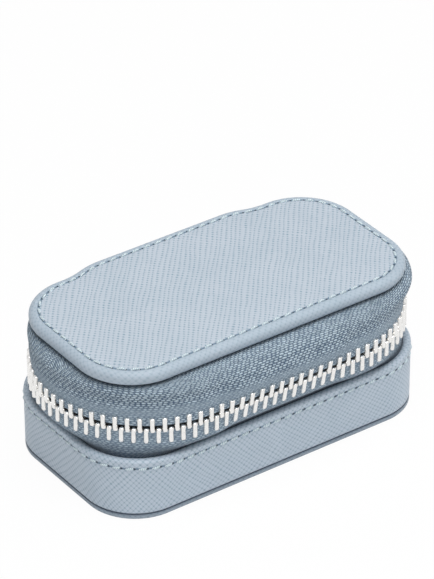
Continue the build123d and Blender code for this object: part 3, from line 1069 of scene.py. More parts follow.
@dataclass
class Base:
    """The leather base: wall with its turned rim, the row of stitches below it and the bottom panel."""

    foot_round: float = 0.5 * MM
    rim_round: float = 0.62 * MM
    rim_thick: float = 2.0 * MM
    seam_drop: float = 2.65 * MM
    groove: float = 0.14 * MM
    groove_width: float = 0.34 * MM
    rim_swell: float = 0.05 * MM
    rim_blend: float = 1.2 * MM
    seam: Seam = field(default_factory=lambda: Seam(pitch=3.06 * MM))
    stitch_lift: float = 0.08 * MM
    # Reach of the painted shade on the wall's foot.
    fold_shade_low: float = 0.05 * MM
    fold_shade_high: float = 0.5 * MM
    bottom_round: float = 0.4 * MM
    # Reach of the painted shade on the bottom panel's upper edge.
    bottom_fold_shade: float = 0.45 * MM
    middle_line: float = 30 * MM

    def profile(self) -> tuple[Array, Array]:
        """The wall's section, a closed loop.

        Returns:
            Inset from the wall's plain outer face and height, from the inner foot out, up, over the rim and
            down.
        """
        seam = PLAN.rim - self.seam_drop
        foot, shoulder = PLAN.bottom + self.foot_round, PLAN.rim - self.rim_round
        sine, cosine = quarter(6)
        plain, sewn = np.linspace(foot, seam - 1 * MM, 14), np.linspace(seam - 0.9 * MM, shoulder, 26)
        height = np.concatenate([plain, sewn])
        dip = self.groove * np.exp(-(((height - seam) / self.groove_width) ** 2))
        swell = self.rim_swell * np.sin(np.pi * np.clip((height - seam) / (PLAN.rim - seam), 0, 1))
        face = dip - swell
        over = np.linspace(0, np.pi, 13)[1:-1]
        half = (self.rim_thick - face[-1]) / 2
        crest = self.rim_thick - half - half * np.cos(over)
        back = np.linspace(shoulder, PLAN.bottom, 17)[:-1]
        turned = ease(shoulder - self.rim_blend, shoulder, back)
        inner = PLAN.wall + (self.rim_thick - PLAN.wall) * turned
        inset = [[PLAN.wall], self.foot_round * (1 - sine), face[1:], crest, inner]
        top = shoulder + self.rim_round * np.sin(over)
        heights = [[PLAN.bottom], foot - self.foot_round * cosine, height[1:], top, back]
        return np.concatenate(inset), np.concatenate(heights)

    def build(self, leather: Material, under: Material, thread: Material) -> None:
        """Makes the wall, its stitches and the bottom panel.

        Args:
            leather: Finish of the wall.
            under: Finish of the bottom panel.
            thread: Finish of the stitches.
        """
        ring = PlanRing.around()
        inset, height = self.profile()
        points = ring.points(PLAN.base_outline(height, inset), height)
        seam_row = int(np.argmin(np.abs(height - (PLAN.rim - self.seam_drop)) + inset * 10))
        cloth = surface_map(ringed(points), True, seam_row)
        wall = grid_piece("base_leather", points, cloth, leather, rows_closed=True, columns_closed=True)
        # Painted shade on the wall's foot, in the crease above the bottom panel.
        mark_fold_shade(wall, 1 - ease(self.fold_shade_low, self.fold_shade_high, points_of(wall)[:, 2] - PLAN.bottom))
        dress(wall, Body.BASE, "leather", "base_wall")
        out = np.column_stack([ring.direction, np.zeros(len(ring.direction))])
        row = ringed(points[seam_row]), ringed(out)
        sewn = Stitching(lift=self.stitch_lift).sew("base_stitching", [row], self.seam.pitch, thread)
        dress(sewn, Body.BASE, "zip_tape")
        self.bottom(ring, under)

    def bottom(self, ring: PlanRing, under: Material) -> None:
        """Makes the bottom panel: a thin slab with a rounded lower edge, closed along its middle line."""
        sine, cosine = quarter(7)
        inset = np.concatenate([self.bottom_round * (1 - sine), [0.0, 0.0, 0.12 * MM, 0.4 * MM]])
        upper = PLAN.bottom - np.array([0.55, 0.3, 0.08, 0.0]) * MM
        height = np.concatenate([self.bottom_round * (1 - cosine), upper])
        edge = ring.points(PLAN.base_outline(height, inset), height)
        points = capped(edge, self.middle_line, np.zeros(7), np.full(7, PLAN.bottom))
        cloth = surface_map(points, True, 9)
        piece = grid_piece("bottom_leather", points, cloth, under, columns_closed=True)
        # Painted shade on the bottom panel's upper edge, in the crease under the wall.
        mark_fold_shade(piece, ease(-self.bottom_fold_shade, -0.1 * MM, points_of(piece)[:, 2] - PLAN.bottom))
        dress(piece, Body.BASE, "bottom_leather", "bottom_panel")


@dataclass
class Lid:
    """The lid: a leather cover with a rolled, sewn lip round a shallow pocket, and the velvet pad in it."""

    leather: float = 1.0 * MM
    top_round: float = 1.6 * MM
    under_round: float = 1.4 * MM
    bump_depth: float = 2.0 * MM
    bump_flat: float = 17.6 * MM
    bump_land: float = 29.2 * MM
    seam_inset: float = 2.35 * MM
    groove: float = 0.15 * MM
    groove_width: float = 0.36 * MM
    sag: float = 0.1 * MM
    sag_fade: float = 1.2 * MM
    pocket_edge: float = 0.3 * MM
    seam: Seam = field(default_factory=lambda: Seam(pitch=3.2 * MM, hole=0.28 * MM))
    offset_reach: float = 8 * MM
    pad_round: float = 0.9 * MM
    pad_crown: float = 0.35 * MM
    pad_inset: float = 0.9 * MM
    middle_line: float = 26 * MM
    pad_line: float = 22 * MM

    def __post_init__(self) -> None:
        """Takes the lid's heights from the frame."""
        low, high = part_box("lid_cover")
        self.under, self.top = low.z, high.z

    def outline(self) -> tuple[Array, Array]:
        """The lid's edge: straight runs, four corner arcs, and two arcs each side that ease into the bump.

        Returns:
            Points and outward directions in plan, from the middle of the front round by the right.
        """
        half, back = PLAN.lid_half
        x, y, r = half - PLAN.lid_corner, back - PLAN.lid_corner, PLAN.lid_corner
        rise, reach = self.bump_depth, self.bump_land - self.bump_flat
        bend = (reach**2 + rise**2) / (4 * rise)
        swing = np.degrees(np.arcsin(reach / 2 / bend))
        lines = []

        def line(start: tuple[float, float], end: tuple[float, float], angle: float, count: int) -> None:
            """Adds a straight stretch that faces one way."""
            share = span(0, 1, count)[:, None]
            facing = np.broadcast_to(compass(np.radians(angle)), (count, 2))
            lines.append((np.array(start) + share * (np.array(end) - start), facing))

        def arc(centre: tuple[float, float], radius: float, start: float, end: float, count: int) -> None:
            """Adds an arc, which faces its centre where the radius is negative."""
            facing = compass(np.radians(span(start, end, count)))
            lines.append((np.array(centre) + radius * facing, facing))

        line((0, -back), (x, -back), -90, 80)
        arc((x, -y), r, -90, 0, 46)
        line((half, -y), (half, y), 0, 40)
        arc((x, y), r, 0, 90, 46)
        line((x, back), (self.bump_land, back), 90, 4)
        arc((self.bump_land, back + bend), -bend, 90, 90 - swing, 16)
        arc((self.bump_flat, back + rise - bend), bend, 90 - swing, 90, 16)
        line((self.bump_flat, back + rise), (-self.bump_flat, back + rise), 90, 90)
        arc((-self.bump_flat, back + rise - bend), bend, 90, 90 + swing, 16)
        arc((-self.bump_land, back + bend), -bend, 90 + swing, 90, 16)
        line((-self.bump_land, back), (-x, back), 90, 4)
        arc((-x, y), r, 90, 180, 46)
        line((-half, y), (-half, -y), 180, 40)
        arc((-x, -y), r, 180, 270, 46)
        line((-x, -back), (0, -back), -90, 80)
        return tuple(np.concatenate(part) for part in zip(*lines))

    def profile(self) -> tuple[Array, Array]:
        """The lid's section from the pocket's ceiling out round the lip and in over the top.

        Returns:
            Inset from the outline and height.
        """
        sine, cosine = quarter(9)
        lip = PLAN.lid_lip
        ceiling = self.top - self.leather
        far = np.concatenate([np.arange(self.top_round + 0.05 * MM, 4 * MM, 0.07 * MM), [4.6 * MM, 6 * MM]])
        far = np.append(far, self.offset_reach)
        dip = self.groove * np.exp(-(((far - self.seam_inset) / self.groove_width) ** 2))
        sag = self.sag * np.exp(-np.clip(far - self.seam_inset, 0, None) / self.sag_fade)
        lower = self.under_round * (1 - sine)
        upper = self.top_round * (1 - cosine)
        inset = np.concatenate([[lip, lip], lower, upper, far])
        turned = self.under + self.under_round * (1 - cosine)
        rolled = self.top - self.top_round + (self.top_round - self.sag) * sine
        pocket = [ceiling, self.under + self.pocket_edge]
        return inset, np.concatenate([pocket, turned, rolled, self.top - dip - sag])

    def build(self, leather: Material, thread: Material, velvet: Material) -> None:
        """Makes the cover, its stitches and the pad.

        Args:
            leather: Finish of the cover.
            thread: Finish of the stitches.
            velvet: Finish of the pad.
        """
        plan, facing = self.outline()
        inset, height = self.profile()
        level = plan[None] - inset[:, None, None] * facing[None]
        up = np.broadcast_to(height[:, None, None], (*level.shape[:2], 1))
        rows = np.concatenate([level, up], axis=-1)
        ceiling_rows, lip_rows = 8, 20
        ends = (np.full(ceiling_rows + 1, height[k]) for k in (0, -1))
        points = capped(rows, self.middle_line, *ends)
        seam_row = ceiling_rows + lip_rows + int(np.argmin(np.abs(inset[lip_rows:] - self.seam_inset)))
        cloth = surface_map(points, True, seam_row)
        cover = grid_piece("lid_leather", points, cloth, leather, columns_closed=True)
        dress(cover, Body.LID, "leather", "lid_cover")
        path = ringed(points[seam_row])
        row = path, np.broadcast_to([0.0, 0.0, 1.0], path.shape)
        dress(Stitching().sew("lid_stitching", [row], self.seam.pitch, thread), Body.LID, "zip_tape")
        self.pad(velvet)

    def pad(self, velvet: Material) -> None:
        """Makes the pad: a rounded edge and a soft crown that swells towards the middle."""
        ring = PlanRing.around(60, 20, 20)
        low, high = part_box("lid_lining")
        edge_inset = PLAN.lid_lip + 3 * PLAN.layer_gap + PLAN.tape + self.pad_inset
        sine, cosine = quarter(8)
        inset = np.concatenate([[0.0], self.pad_round * (1 - cosine), np.array([1.4, 2.2, 3.5, 6]) * MM])
        sunk = low.z + self.pad_crown
        inner = sunk - self.pad_crown * np.array([0.15, 0.4, 0.7, 0.9])
        height = np.concatenate([[high.z], sunk + self.pad_round * (1 - sine), inner])
        edge = ring.points(PLAN.seam_outline(edge_inset + inset), height)
        points = capped(edge, self.pad_line, np.full(7, high.z), np.linspace(inner[-1], low.z, 7))
        pad = grid_piece("lid_pad", points, surface_map(points, True), velvet, columns_closed=True)
        dress(pad, Body.LID, "lining", "lid_lining")


@dataclass
class ZipBand:
    """The zip: two woven tapes that belly out between base and lid, and two rows of silver teeth."""

    lower_edge: float = 0.6 * MM
    upper_edge: float = 1.05 * MM
    tuck: float = 7.0 * MM
    rim_step: float = 0.6 * MM
    seam_tuck: float = 1.5 * MM
    crease: float = 0.9 * MM
    puff: float = 1.6 * MM
    right_puff: float = 1.3 * MM
    right_facing: tuple[float, float] = (0.1, 0.8)
    lean: float = 11.0
    lean_full: float = 13 * MM
    lean_end: float = 20 * MM
    run_on: float = 1.4 * MM
    run_fade: float = 3.0 * MM
    rim_fade: float = 1.5 * MM
    lid_fade: float = 1.0 * MM
    sewn_fade: float = 0.75 * MM
    loose_fade: float = 4.0 * MM
    seam_drop: float = 0.3 * MM
    early_swell: float = 0.35
    boxy: float = 2.8
    lip: float = 0.25 * MM
    cord: float = 0.28 * MM
    cord_place: float = 4.6 * MM
    cord_width: float = 1.5 * MM
    pitch: float = 2.78 * MM
    first_lower: float = 5.335 * MM
    first_upper: float = 12.285 * MM
    row_end: float = 1.5 * MM
    reach: float = 3.35 * MM
    overlap: float = 0.55 * MM
    half_width: float = 0.6 * MM
    half_depth: float = 1.15 * MM
    nib: float = 0.22 * MM
    nib_height: float = 0.62 * MM
    square: float = 3.6
    slider_gap: float = 4.6 * MM
    slider_fade: float = 1.5 * MM
    tail_gap: float = 0.2 * MM
    tail_fade: float = 2.5 * MM
    # Painted shade on the tapes: a crease and a wider shadow over the rim, the crease's share, and a crease
    # under the lid's lip.
    rim_crease_shade: tuple[float, float] = (0.4 * MM, 1.6 * MM)
    rim_shade: tuple[float, float] = (1.2 * MM, 4.0 * MM)
    crease_shade_share: float = 0.45
    lip_shade_reach: tuple[float, float] = (0.4 * MM, 1.2 * MM)

    def lower_rows(self) -> tuple[Array, Array]:
        """Outlines and heights of the lower tape's outer face, from behind the wall to the teeth."""
        tuck = PLAN.rim - self.tuck * np.array([1, 0.6, 0.3, 0.16, 0.08, 0])
        step = self.rim_step * ease(PLAN.rim - 2 * MM, PLAN.rim - 0.6 * MM, tuck)
        hidden = PLAN.base_outline(tuck, PLAN.tape_inset + step)
        rise = np.linspace(0, 1, 14)[1:]
        start, end = PLAN.rim, PLAN.zip_height - PLAN.zip_straight
        early, late = np.sin(rise * np.pi / 2), ease(0, 1, rise)
        swell = (self.early_swell * early + (1 - self.early_swell) * late)[:, None]
        upright = np.linspace(end, PLAN.zip_height - self.lower_edge, 13)[1:]
        oval = PLAN.zip_outline(np.full(len(rise), -PLAN.tape / 2))
        bulge = hidden[-1] + (oval - hidden[-1]) * swell
        outline = np.concatenate([hidden, bulge, oval[: len(upright)]])
        return outline, np.concatenate([tuck, start + (end - start) * rise, upright])

    def upper_rows(self) -> tuple[Array, Array]:
        """Outlines and heights of the upper tape's outer face, from the teeth to the lid's seam."""
        low, high = LID_FOOT, LID_FOOT + self.seam_tuck
        start = PLAN.zip_height + self.upper_edge
        belly = PLAN.zip_height + PLAN.zip_straight
        upright = np.linspace(start, belly, 22)
        turn = np.linspace(0, np.pi / 2, 34)[1:]
        oval = PLAN.zip_outline(np.full(33, -PLAN.tape / 2))
        seam = PLAN.seam_outline(np.full(33, PLAN.lid_lip + PLAN.layer_gap + self.crease))
        bulge = oval + (seam - oval) * (1 - np.cos(turn) ** (2 / self.boxy))[:, None]
        puff = self.puff * np.sin(turn) * np.sin(2 * turn)
        rise = belly + (low - self.seam_drop - belly) * np.sin(turn) ** (2 / self.boxy)
        ridge, fade = (
            self.cord * np.exp(-(((height - start - self.cord_place) / self.cord_width) ** 2))
            for height in (upright, rise)
        )
        bulge = bulge + puff[:, None] * [2, 2, 1] + fade[:, None] * [2, 2, 1]
        outline = np.concatenate([PLAN.zip_outline(-PLAN.tape / 2 - ridge), bulge, seam[:1]])
        return outline, np.concatenate([upright, rise, [high]])

    def tape(
        self,
        name: str,
        rows: tuple[Array, Array],
        teeth_first: bool,
        material: Material,
        hinge: "Hinge",
    ) -> Piece:
        """Makes one tape as a closed skin: the outer face, a rounded edge and the inner face.

        Args:
            name: Name of the piece.
            rows: Outlines and heights of the outer face.
            teeth_first: Whether the rows start at the teeth.
            material: Finish of the tape.
            hinge: The panel that both ends are sewn behind.

        Returns:
            The piece.
        """
        outline, height = rows
        ring = PlanRing.zip_run()
        thin = PLAN.tape * np.array([2, 2, 1])
        outer = self.leaned(ring.points(outline, height, PLAN.end_centre), ring.direction)
        inner = self.leaned(ring.points(outline - thin, height, PLAN.end_centre), ring.direction)
        if teeth_first:
            outer, inner = (self.lifted(self.filled_out(face, ring.direction)) for face in (outer, inner))
        tuck = self.tucked(outer, hinge)
        outer, inner = outer + tuck, inner + tuck
        edge_row = 0 if teeth_first else -1
        lip = (outer[edge_row] + inner[edge_row]) / 2
        lip[:, 2] += -self.lip if teeth_first else self.lip
        seam = np.concatenate([outer, inner[::-1]])
        loop = [lip[None], seam] if teeth_first else [outer, lip[None], inner[::-1]]
        points = np.concatenate(loop)
        zero = 1 if teeth_first else len(outer) - 1
        middle = points.shape[1] // 2
        closed = ringed(points)
        cloth = surface_map(closed, zero_row=zero)
        along = running_length(closed, 1)
        cloth[..., 0] = along - along[:, middle : middle + 1]
        return grid_piece(name, points, cloth, material, rows_closed=True)

    def leaned(self, points: Array, facing: Array) -> Array:
        """Leans the band out towards the lid, as the full belly pulls it.

        A point moves out by its height over the zip's line times the lean's slope. The move fades at the
        seams of rim and lid, and towards the round ends, where the slider runs.

        Args:
            points: Points of tapes or teeth.
            facing: Outward directions in plan at those points.

        Returns:
            The moved points.
        """
        height = points[..., 2] - PLAN.zip_height
        seam = np.where(height > 0, LID_FOOT - PLAN.zip_height, PLAN.zip_height - PLAN.rim)
        hold = 1 - ease(PLAN.zip_straight, seam, np.abs(height))
        straight = 1 - ease(self.lean_full, self.lean_end, np.abs(points[..., 0]))
        front = np.where(points[..., 1] < 0, straight, 0)
        return pushed(points, facing, np.tan(np.radians(self.lean)) * height * hold * front)

    def filled_out(self, points: Array, facing: Array) -> Array:
        """Fills the upper tape's belly at the right end, outwards by a sine of its height over the teeth."""
        start = PLAN.zip_height + PLAN.zip_straight
        share = np.clip((points[..., 2] - start) / (LID_FOOT - start), 0, 1)
        move = self.right_puff * np.sin(np.pi * share**2) * ease(*self.right_facing, facing[:, 0])
        return pushed(points, facing, move)

    def lifted(self, points: Array) -> Array:
        """Lifts the upper tape's end clear of the parked slider: points beside it rise to its top."""
        x, y, z = np.moveaxis(points, -1, 0)
        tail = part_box("zip_slider")[1].x + self.tail_gap
        near = np.where((y > 0) & (x > 0), 1 - ease(tail, tail + self.tail_fade, x), 0.0)
        start, floor = PLAN.zip_height + self.upper_edge, PLAN.zip_height + self.slider_gap
        share = np.clip((z - start) / (LID_FOOT - start), 0, 1)
        rise = np.where(z < LID_FOOT, floor + (LID_FOOT - floor) * share - z, 0) * near
        return points + rise[..., None] * [0, 0, 1]

    def tucked(self, outer: Array, hinge: "Hinge") -> Array:
        """How a tape's ends move to lie behind the hinge panel, where they are sewn.

        Each end runs on past the panel's edge and dips to the panel's inner face. Both moves fade away from
        the end and at the seams of rim and lid. Over the slider the dip is drawn out.

        Args:
            outer: Points of the tape's outer face.
            hinge: The panel.

        Returns:
            Moves of the points.
        """
        line = hinge.path()[0]
        x, y, z = np.moveaxis(outer, -1, 0)
        below_lid = 1 - ease(LID_FOOT - self.lid_fade, LID_FOOT, z)
        shown = ease(PLAN.rim, PLAN.rim + self.rim_fade, z) * below_lid * (y > 0)
        run_on = self.run_on * shown * (1 - ease(0, self.run_fade, np.abs(x) - PLAN.end_centre))
        behind = np.interp(z, line[:, 1], line[:, 0]) - hinge.thick / 2 - PLAN.layer_gap
        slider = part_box("zip_slider")[1].z
        over = ease(slider, slider + self.slider_fade, z)
        fade = self.sewn_fade + (self.loose_fade - self.sewn_fade) * over
        near = 1 - ease(0, fade, np.abs(x) - run_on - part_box("hinge_panel")[1].x)
        dip = np.minimum(behind - y, 0) * shown * near
        return np.stack([-np.sign(x) * run_on, dip, np.zeros_like(x)], axis=-1)

    def tooth(self) -> Array:
        """One tooth of the lower row as a lofted bar.

        Its section is a rounded rectangle, narrower at the neck and wider at the legs. Near the tip one side
        swells into the nib that locks under the next tooth.

        Returns:
            Points as (rows, columns, 3): along the run, outwards, up.
        """
        legs, neck = [-1, -0.995, -0.96, -0.75, -0.4, -0.13, -0.06], [0.0, 0.06, 0.11, 0.142, 0.158, 0.164]
        height = np.array(legs + neck) * self.reach
        tip = self.overlap
        leg = ease(0.0, -self.reach, height)
        head = ease(-0.1 * self.reach, tip, height)
        width = self.half_width * (0.96 + 0.1 * leg - 0.2 * head)
        depth = self.half_depth * (1 - 0.1 * ease(-self.reach * 0.2, tip, height))
        ends = np.ones_like(height)
        ends[[0, -1]] = 0.0
        ends[[1, -2, -3]] = 0.86, 0.62, 0.9
        nib = self.nib * ease(tip - self.nib_height - 0.3 * MM, tip - self.nib_height + 0.05 * MM, height)
        turn = span(0, 2 * np.pi, 16) + np.pi / 16
        across = np.sign(np.cos(turn)) * np.abs(np.cos(turn)) ** (2 / self.square)
        out = np.sign(np.sin(turn)) * np.abs(np.sin(turn)) ** (2 / self.square)
        left = np.where(across < 0, 1.0, 0.0)
        x = (width[:, None] + nib[:, None] * left) * across * ends[:, None]
        y = depth[:, None] * out * ends[:, None]
        return np.stack([x, y, np.broadcast_to(height[:, None], x.shape)], axis=-1)

    def teeth(self, name: str, first: float, upper: bool, metal: Material) -> Piece:
        """Makes one row of teeth at even stops along the zip's oval.

        Args:
            name: Name of the piece.
            first: Travel of the first tooth from the hinge.
            upper: Whether the teeth hang from the upper tape.
            metal: Finish of the teeth.

        Returns:
            The piece.
        """
        ring = PlanRing.zip_run(fan=1, corner=160)
        path = ring.points(PLAN.zip_outline(np.zeros(1)), np.array([PLAN.zip_height]), PLAN.end_centre)[0]
        travel = running_length(path, 0)
        stops = np.arange(first, travel[-1] - self.row_end, self.pitch)
        middle = sampled(stops, travel, path)
        facing = unit(sampled(stops, travel, ring.direction))
        along = np.stack([facing[:, 1], -facing[:, 0]], axis=-1)
        shape = self.tooth()
        shape = shape * [1, 1, -1] if upper else shape
        along, facing = along[:, None, None], facing[:, None, None]
        plan = shape[None, ..., 0, None] * along + shape[None, ..., 1, None] * facing
        up = np.broadcast_to(shape[None, ..., 2:], (*plan.shape[:3], 1))
        points = np.concatenate([plan, up], axis=-1) + middle[:, None, None]
        points = self.leaned(points, facing)
        blank = np.zeros((len(stops), points.shape[1], points.shape[2] + 1, 2))
        return grid_piece(name, points, blank, metal, columns_closed=True)

    def build(self, upper: Material, lower: Material, metal: Material, hinge: "Hinge") -> None:
        """Makes both tapes and both rows of teeth.

        Args:
            upper: Finish of the upper tape.
            lower: Finish of the lower tape.
            metal: Finish of the teeth.
            hinge: The panel at the zip's ends.
        """
        lower_tape = self.tape("lower_tape_cloth", self.lower_rows(), False, lower, hinge)
        low = points_of(lower_tape)[:, 2] - PLAN.rim
        # Painted shade on the lower tape: a narrow dark crease just over the rim and a wider soft shadow
        # above it.
        crease, shade = 1 - ease(*self.rim_crease_shade, low), 1 - ease(*self.rim_shade, low)
        mark_fold_shade(lower_tape, crease * self.crease_shade_share + shade * (1 - self.crease_shade_share))
        dress(lower_tape, Body.BASE, "zip_tape", "lower_zip_tape")
        upper_tape = self.tape("upper_tape_cloth", self.upper_rows(), True, upper, hinge)
        place = points_of(upper_tape)
        high = place[:, 2] > PLAN.zip_height + PLAN.zip_straight
        # Painted shade on the upper tape just under the lid's lip.
        mark_fold_shade(upper_tape, np.where(high, ease(*self.lip_shade_reach, PLAN.inside_lid(place)), 0.0))
        dress(upper_tape, Body.LID, "zip_tape", "upper_zip_tape")
        lower_teeth = self.teeth("lower_teeth_metal", self.first_lower, False, metal)
        dress(lower_teeth, Body.BASE, "zip_metal", "lower_zip_teeth")
        upper_teeth = self.teeth("upper_teeth_metal", self.first_upper, True, metal)
        dress(upper_teeth, Body.LID, "zip_metal", "upper_zip_teeth")


def circle_centre(first: Array, second: Array, third: Array) -> Array:
    """Centre of the circle through three points, where the bisectors of two chords cross."""
    chords = np.stack([second - first, third - second])
    middles = np.stack([(first + second) / 2, (second + third) / 2])
    return np.linalg.solve(chords, np.einsum("ij,ij->i", chords, middles))


@dataclass
class Hinge:
    """The soft leather panel between base and lid at the back, sewn down both sides."""

    thick: float = 1.2 * MM
    side_round: float = 0.6 * MM
    belly: float = 0.15 * MM
    seam_side: float = 2.2 * MM
    seam_ends: float = 0.8 * MM
    lid_tuck: float = 21.85 * MM
    seam: Seam = field(default_factory=lambda: Seam(pitch=2.9 * MM))

    def path(self) -> tuple[Array, Array]:
        """The panel's middle line in side view: tucked in the base, an arc over the belly, and in the lid.

        Returns:
            Points (back, up) and outward directions.
        """
        low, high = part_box("hinge_panel")
        inset = PLAN.tape_inset + self.thick / 2
        foot, rim = PLAN.base_outline(np.array([low.z, PLAN.rim]), np.full(2, inset))[:, 1] / 2
        top = self.lid_tuck
        ends = np.array([[foot, low.z], [rim, PLAN.rim]])
        crest = np.array([PLAN.zip_size[1] / 2 + self.belly, PLAN.zip_height])
        last = np.array([top, LID_FOOT - self.thick / 2])
        centre = circle_centre(ends[1], crest, last)
        radius = np.linalg.norm(crest - centre)
        turns = [np.arctan2(*(point - centre)[::-1]) for point in (ends[1], last)]
        turn = np.linspace(turns[0], turns[1], 60)
        arc = centre + radius * compass(turn)
        tucked = ends[0] + np.linspace(0, 1, 8)[:-1, None] * (ends[1] - ends[0])
        seam = np.stack([np.full(5, top), np.linspace(last[1], high.z, 6)[1:]], axis=-1)
        line = np.concatenate([tucked, arc, seam])
        slope = unit(np.gradient(line, axis=0))
        return line, np.stack([slope[:, 1], -slope[:, 0]], axis=-1)

    def build(self, leather: Material, thread: Material) -> None:
        """Makes the panel and its two rows of stitches, which bend from base to lid.

        Args:
            leather: Finish of the panel.
            thread: Finish of the stitches.
        """
        line, facing = self.path()
        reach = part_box("hinge_panel")[1].x
        ends = reach - self.side_round
        turn = np.linspace(-np.pi / 2, np.pi / 2, 9)
        right = np.stack([ends + self.side_round * np.cos(turn), self.thick / 2 * np.sin(turn)], axis=-1)
        top = np.stack([np.linspace(ends, -ends, 40)[1:-1], np.full(38, self.thick / 2)], axis=-1)
        section = np.concatenate([right, top, -right, -top])
        x = np.broadcast_to(section[:, 0], (len(line), len(section)))
        level = line[:, None] + facing[:, None] * section[None, :, 1:]
        points = np.concatenate([x[..., None], level], axis=-1)
        foot, head = (
            np.broadcast_to(row.mean(axis=1, keepdims=True), row.shape) for row in (points[:1], points[-1:])
        )
        skin = np.concatenate([foot, points, head])
        outer = 20
        along = running_length(skin, 0)[:, outer : outer + 1]
        cloth = np.stack(np.broadcast_arrays(ringed(section[:, 0]), along), axis=-1)
        panel = grid_piece("hinge_leather", skin, cloth, leather, columns_closed=True)
        self.bend(panel, "leather", "hinge_panel")
        self.sew(line, facing, reach, thread)

    def sew(self, line: Array, facing: Array, reach: float, thread: Material) -> None:
        """Makes the stitches along both sides, on the part of the panel that shows."""
        height = line[:, 1]
        shown = (height > PLAN.rim + self.seam_ends) & (height < LID_FOOT - self.seam_ends)
        level = line[shown] + facing[shown] * self.thick / 2
        out = np.column_stack([np.zeros(len(level)), facing[shown]])
        sides = (side * (reach - self.seam_side) for side in (-1, 1))
        rows = [(np.column_stack([np.full(len(level), x), level]), out) for x in sides]
        self.bend(Stitching().sew("hinge_stitching", rows, self.seam.pitch, thread), "zip_tape")

    def bend(self, piece: Piece, slot: str, *nodes: str) -> None:
        """Bakes a piece's place into its points and hides the solids that it stands for."""
        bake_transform(piece)
        if nodes:
            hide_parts(*nodes)
        LOG.info("%s bends from base to lid", piece.name)


@dataclass
class Tray:
    """The velvet tray in the base, with ring rolls on the right."""

    floor_round: float = 1.2 * MM
    rim_round: float = 0.3 * MM
    panel: float = 1.2 * MM
    roll_gap: float = 0.3 * MM
    roll_ends: float = 9.0
    roll_taper: float = 0.35
    roll_swell: float = 0.02
    roll_waves: float = 9.0
    middle_line: float = 24 * MM

    def __post_init__(self) -> None:
        """Takes the tray's heights from the frame."""
        low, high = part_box("tray_lining")
        self.foot, self.rim = low.z, high.z
        self.floor = self.foot + PLAN.lining

    def build(self, velvet: Material) -> None:
        """Makes the tray and its ring rolls in velvet."""
        ring = PlanRing.around()
        out, mid = PLAN.board_inset, PLAN.lining_inset
        cavity = mid + PLAN.lining
        ledge = self.rim - PLAN.lining
        sine, cosine = quarter(7)
        edge, bend = self.rim_round, self.floor_round
        wall = np.linspace(self.rim - edge, self.floor + bend, 10)[1:-1]
        inset = [[mid, mid, out], out + edge * (1 - cosine), cavity - edge * (1 - sine)]
        inset = np.concatenate([*inset, np.full(8, cavity), cavity + bend * (1 - cosine)])
        height = [[self.foot, ledge, ledge], self.rim - edge + edge * sine, self.rim - edge * (1 - cosine)]
        height = np.concatenate([*height, wall, self.floor + bend * (1 - sine)])
        points = ring.points(PLAN.base_outline(height, inset), height)
        self.clear_panel(points)
        skin = capped(points, self.middle_line, np.full(7, self.foot), np.full(7, self.floor))
        tray = grid_piece("tray_velvet", skin, surface_map(skin, True), velvet, columns_closed=True)
        dress(tray, Body.BASE, "lining", "tray_lining")
        for number in range(1, 5):
            self.roll(number, cavity, velvet)

    def clear_panel(self, points: Array) -> None:
        """Keeps the tray's outer faces in front of the hinge panel's tuck."""
        inner = PLAN.tape_inset + self.panel + PLAN.layer_gap
        limit = PLAN.base_outline(points[..., 2], np.full(points.shape[:2], inner))[..., 1] / 2
        behind = np.abs(points[..., 0]) < PLAN.end_centre
        points[..., 1] = np.where(behind, np.minimum(points[..., 1], limit), points[..., 1])

    def roll(self, number: int, cavity: float, velvet: Material) -> None:
        """Makes one ring roll: a foam bar with a round top, whose ends are drawn in like a pillow's.

        The section is a flat-bottomed loop with a half circle on top. Along the roll it shrinks by a high
        power of the distance from the middle, and its ends follow the tray's wall.

        Args:
            number: The roll's number.
            cavity: How far the tray's inner face lies inside the wall's outer face.
            velvet: Finish of the roll.
        """
        low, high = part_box(f"ring_roll_{number}")
        middle, radius = (low.x + high.x) / 2, (high.x - low.x) / 2
        turn = np.linspace(0, np.pi, 25)
        shoulder = high.z - radius
        side = np.linspace(low.z, shoulder, 10)[:-1]
        base = np.linspace(radius, -radius, 12)[1:-1]
        x = np.concatenate([np.full(9, radius), radius * np.cos(turn), np.full(9, -radius), base[::-1]])
        z = np.concatenate([side, shoulder + radius * np.sin(turn), side[::-1], np.full(10, low.z)])
        travel = np.sin(np.linspace(-np.pi / 2, np.pi / 2, 61))[:, None]
        taper = (1 - np.abs(travel) ** self.roll_ends) ** self.roll_taper
        swell = 1 - self.roll_swell * np.sin(travel * self.roll_waves + number) * (1 - travel**2)
        centre = (low.z + high.z) / 2
        across = middle + x * taper * swell
        up = np.where(z > centre, centre + (z - centre) * taper, low.z + (z - low.z) * taper)
        length, width, corner = PLAN.base_outline(self.floor, cavity + self.roll_gap)
        over = np.clip(np.abs(across) - (length / 2 - corner), 0, corner)
        end = width / 2 - corner + np.sqrt(np.maximum(corner**2 - over**2, 0))
        points = np.stack([across, travel * end, np.maximum(up, low.z)], axis=-1)
        cloth = surface_map(points, True)
        piece = grid_piece(f"ring_cushion_{number}", points, cloth, velvet, columns_closed=True)
        dress(piece, Body.BASE, "ring_velvet", f"ring_roll_{number}")


